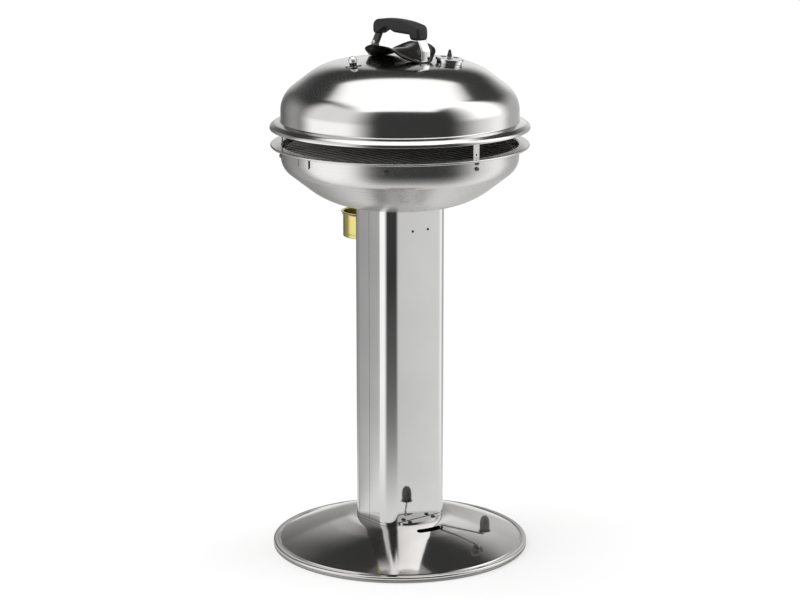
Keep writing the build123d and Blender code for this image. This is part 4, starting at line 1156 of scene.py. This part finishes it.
for ray in ("camera", "diffuse", "transmission", "shadow", "volume_scatter"):
    setattr(room, "visible_" + ray, False)
room_paint = bpy.data.materials.new("room_paint")
tree = stage_tree(room_paint)
painted = add(tree, "ShaderNodeAttribute", attribute_name="glow").outputs["Fac"]
shine = add(tree, "ShaderNodeEmission", {"Strength": painted}).outputs[0]
tree.links.new(shine, add(tree, "ShaderNodeOutputMaterial").inputs["Surface"])
mesh.materials.append(room_paint)
room_paint.cycles.emission_sampling = "NONE"
print("room:", len(glow), "points, brightest", round(max(glow), 2))

# %% Floor
FLOOR_R = 4.0
bm = bmesh.new()
bmesh.ops.create_circle(bm, cap_ends=True, radius=FLOOR_R, segments=96)
floor = as_object("floor", bm)
floor.visible_glossy = False
floor_paint = bpy.data.materials.new("floor_paint")
tree = stage_tree(floor_paint)
reach = vectors(tree, "LENGTH", add(tree, "ShaderNodeTexCoord").outputs["Object"])
fade = ranged(tree, reach, 0.45, 1.0, 0.3, 1.4)
matt = add(tree, "ShaderNodeBsdfDiffuse", {"Color": (0.9, 0.9, 0.9, 1)}).outputs[0]
bright = ranged(tree, reach, 0.0, 1.0, 0.232, 0.25)
pale = add(tree, "ShaderNodeEmission", {"Color": (1, 1, 1, 1), "Strength": bright}).outputs[0]
blend = add(tree, "ShaderNodeMixShader", {0: fade, 1: matt, 2: pale}).outputs[0]
tree.links.new(blend, add(tree, "ShaderNodeOutputMaterial").inputs["Surface"])
floor.data.materials.append(floor_paint)
floor_paint.cycles.emission_sampling = "NONE"
print("floor:", FLOOR_R, "m in radius")


# %% Lamps and world
def panel(name, turn, reach, z, aim_z, width, height, power):
    """Soft lamp that reflections don't see, because the room has its own panels."""
    lamp = bpy.data.lights.new(name, "AREA")
    lamp.shape = "RECTANGLE"
    lamp.size, lamp.size_y, lamp.energy = width, height, power
    obj = new_object(name, lamp)
    obj.location = bearing(turn) * reach + Vector((0, 0, z))
    obj.rotation_euler = (Vector((0, 0, aim_z)) - obj.location).to_track_quat("-Z", "Y").to_euler()
    obj.visible_camera = False
    obj.visible_glossy = False


panel("top_panel", 180, 0.3, 3.0, 0.5, 3.0, 1.6, 70)
panel("left_panel", -66, 2.2, 1.5, 0.7, 2.0, 2.4, 45)
panel("right_panel", 100, 2.4, 1.4, 0.7, 2.0, 2.0, 25)
world = bpy.data.worlds.new("white_room")
scene.world = world
tree = stage_tree(world)
rays = add(tree, "ShaderNodeLightPath").outputs
seen = maths(tree, "MAXIMUM", rays["Is Camera Ray"], rays["Is Glossy Ray"])
seen = maths(tree, "MAXIMUM", seen, rays["Is Transmission Ray"])
fill = add(tree, "ShaderNodeBackground", {"Color": (1.0, 0.99, 0.97, 1), "Strength": 0.3}).outputs[0]
white = add(tree, "ShaderNodeBackground", {"Color": (1, 1, 1, 1), "Strength": 1.0}).outputs[0]
both = add(tree, "ShaderNodeMixShader", {0: seen, 1: fill, 2: white}).outputs[0]
tree.links.new(both, add(tree, "ShaderNodeOutputWorld").inputs["Surface"])
scene.view_settings.view_transform = "Standard"
print("lamps:", len(bpy.data.lights))
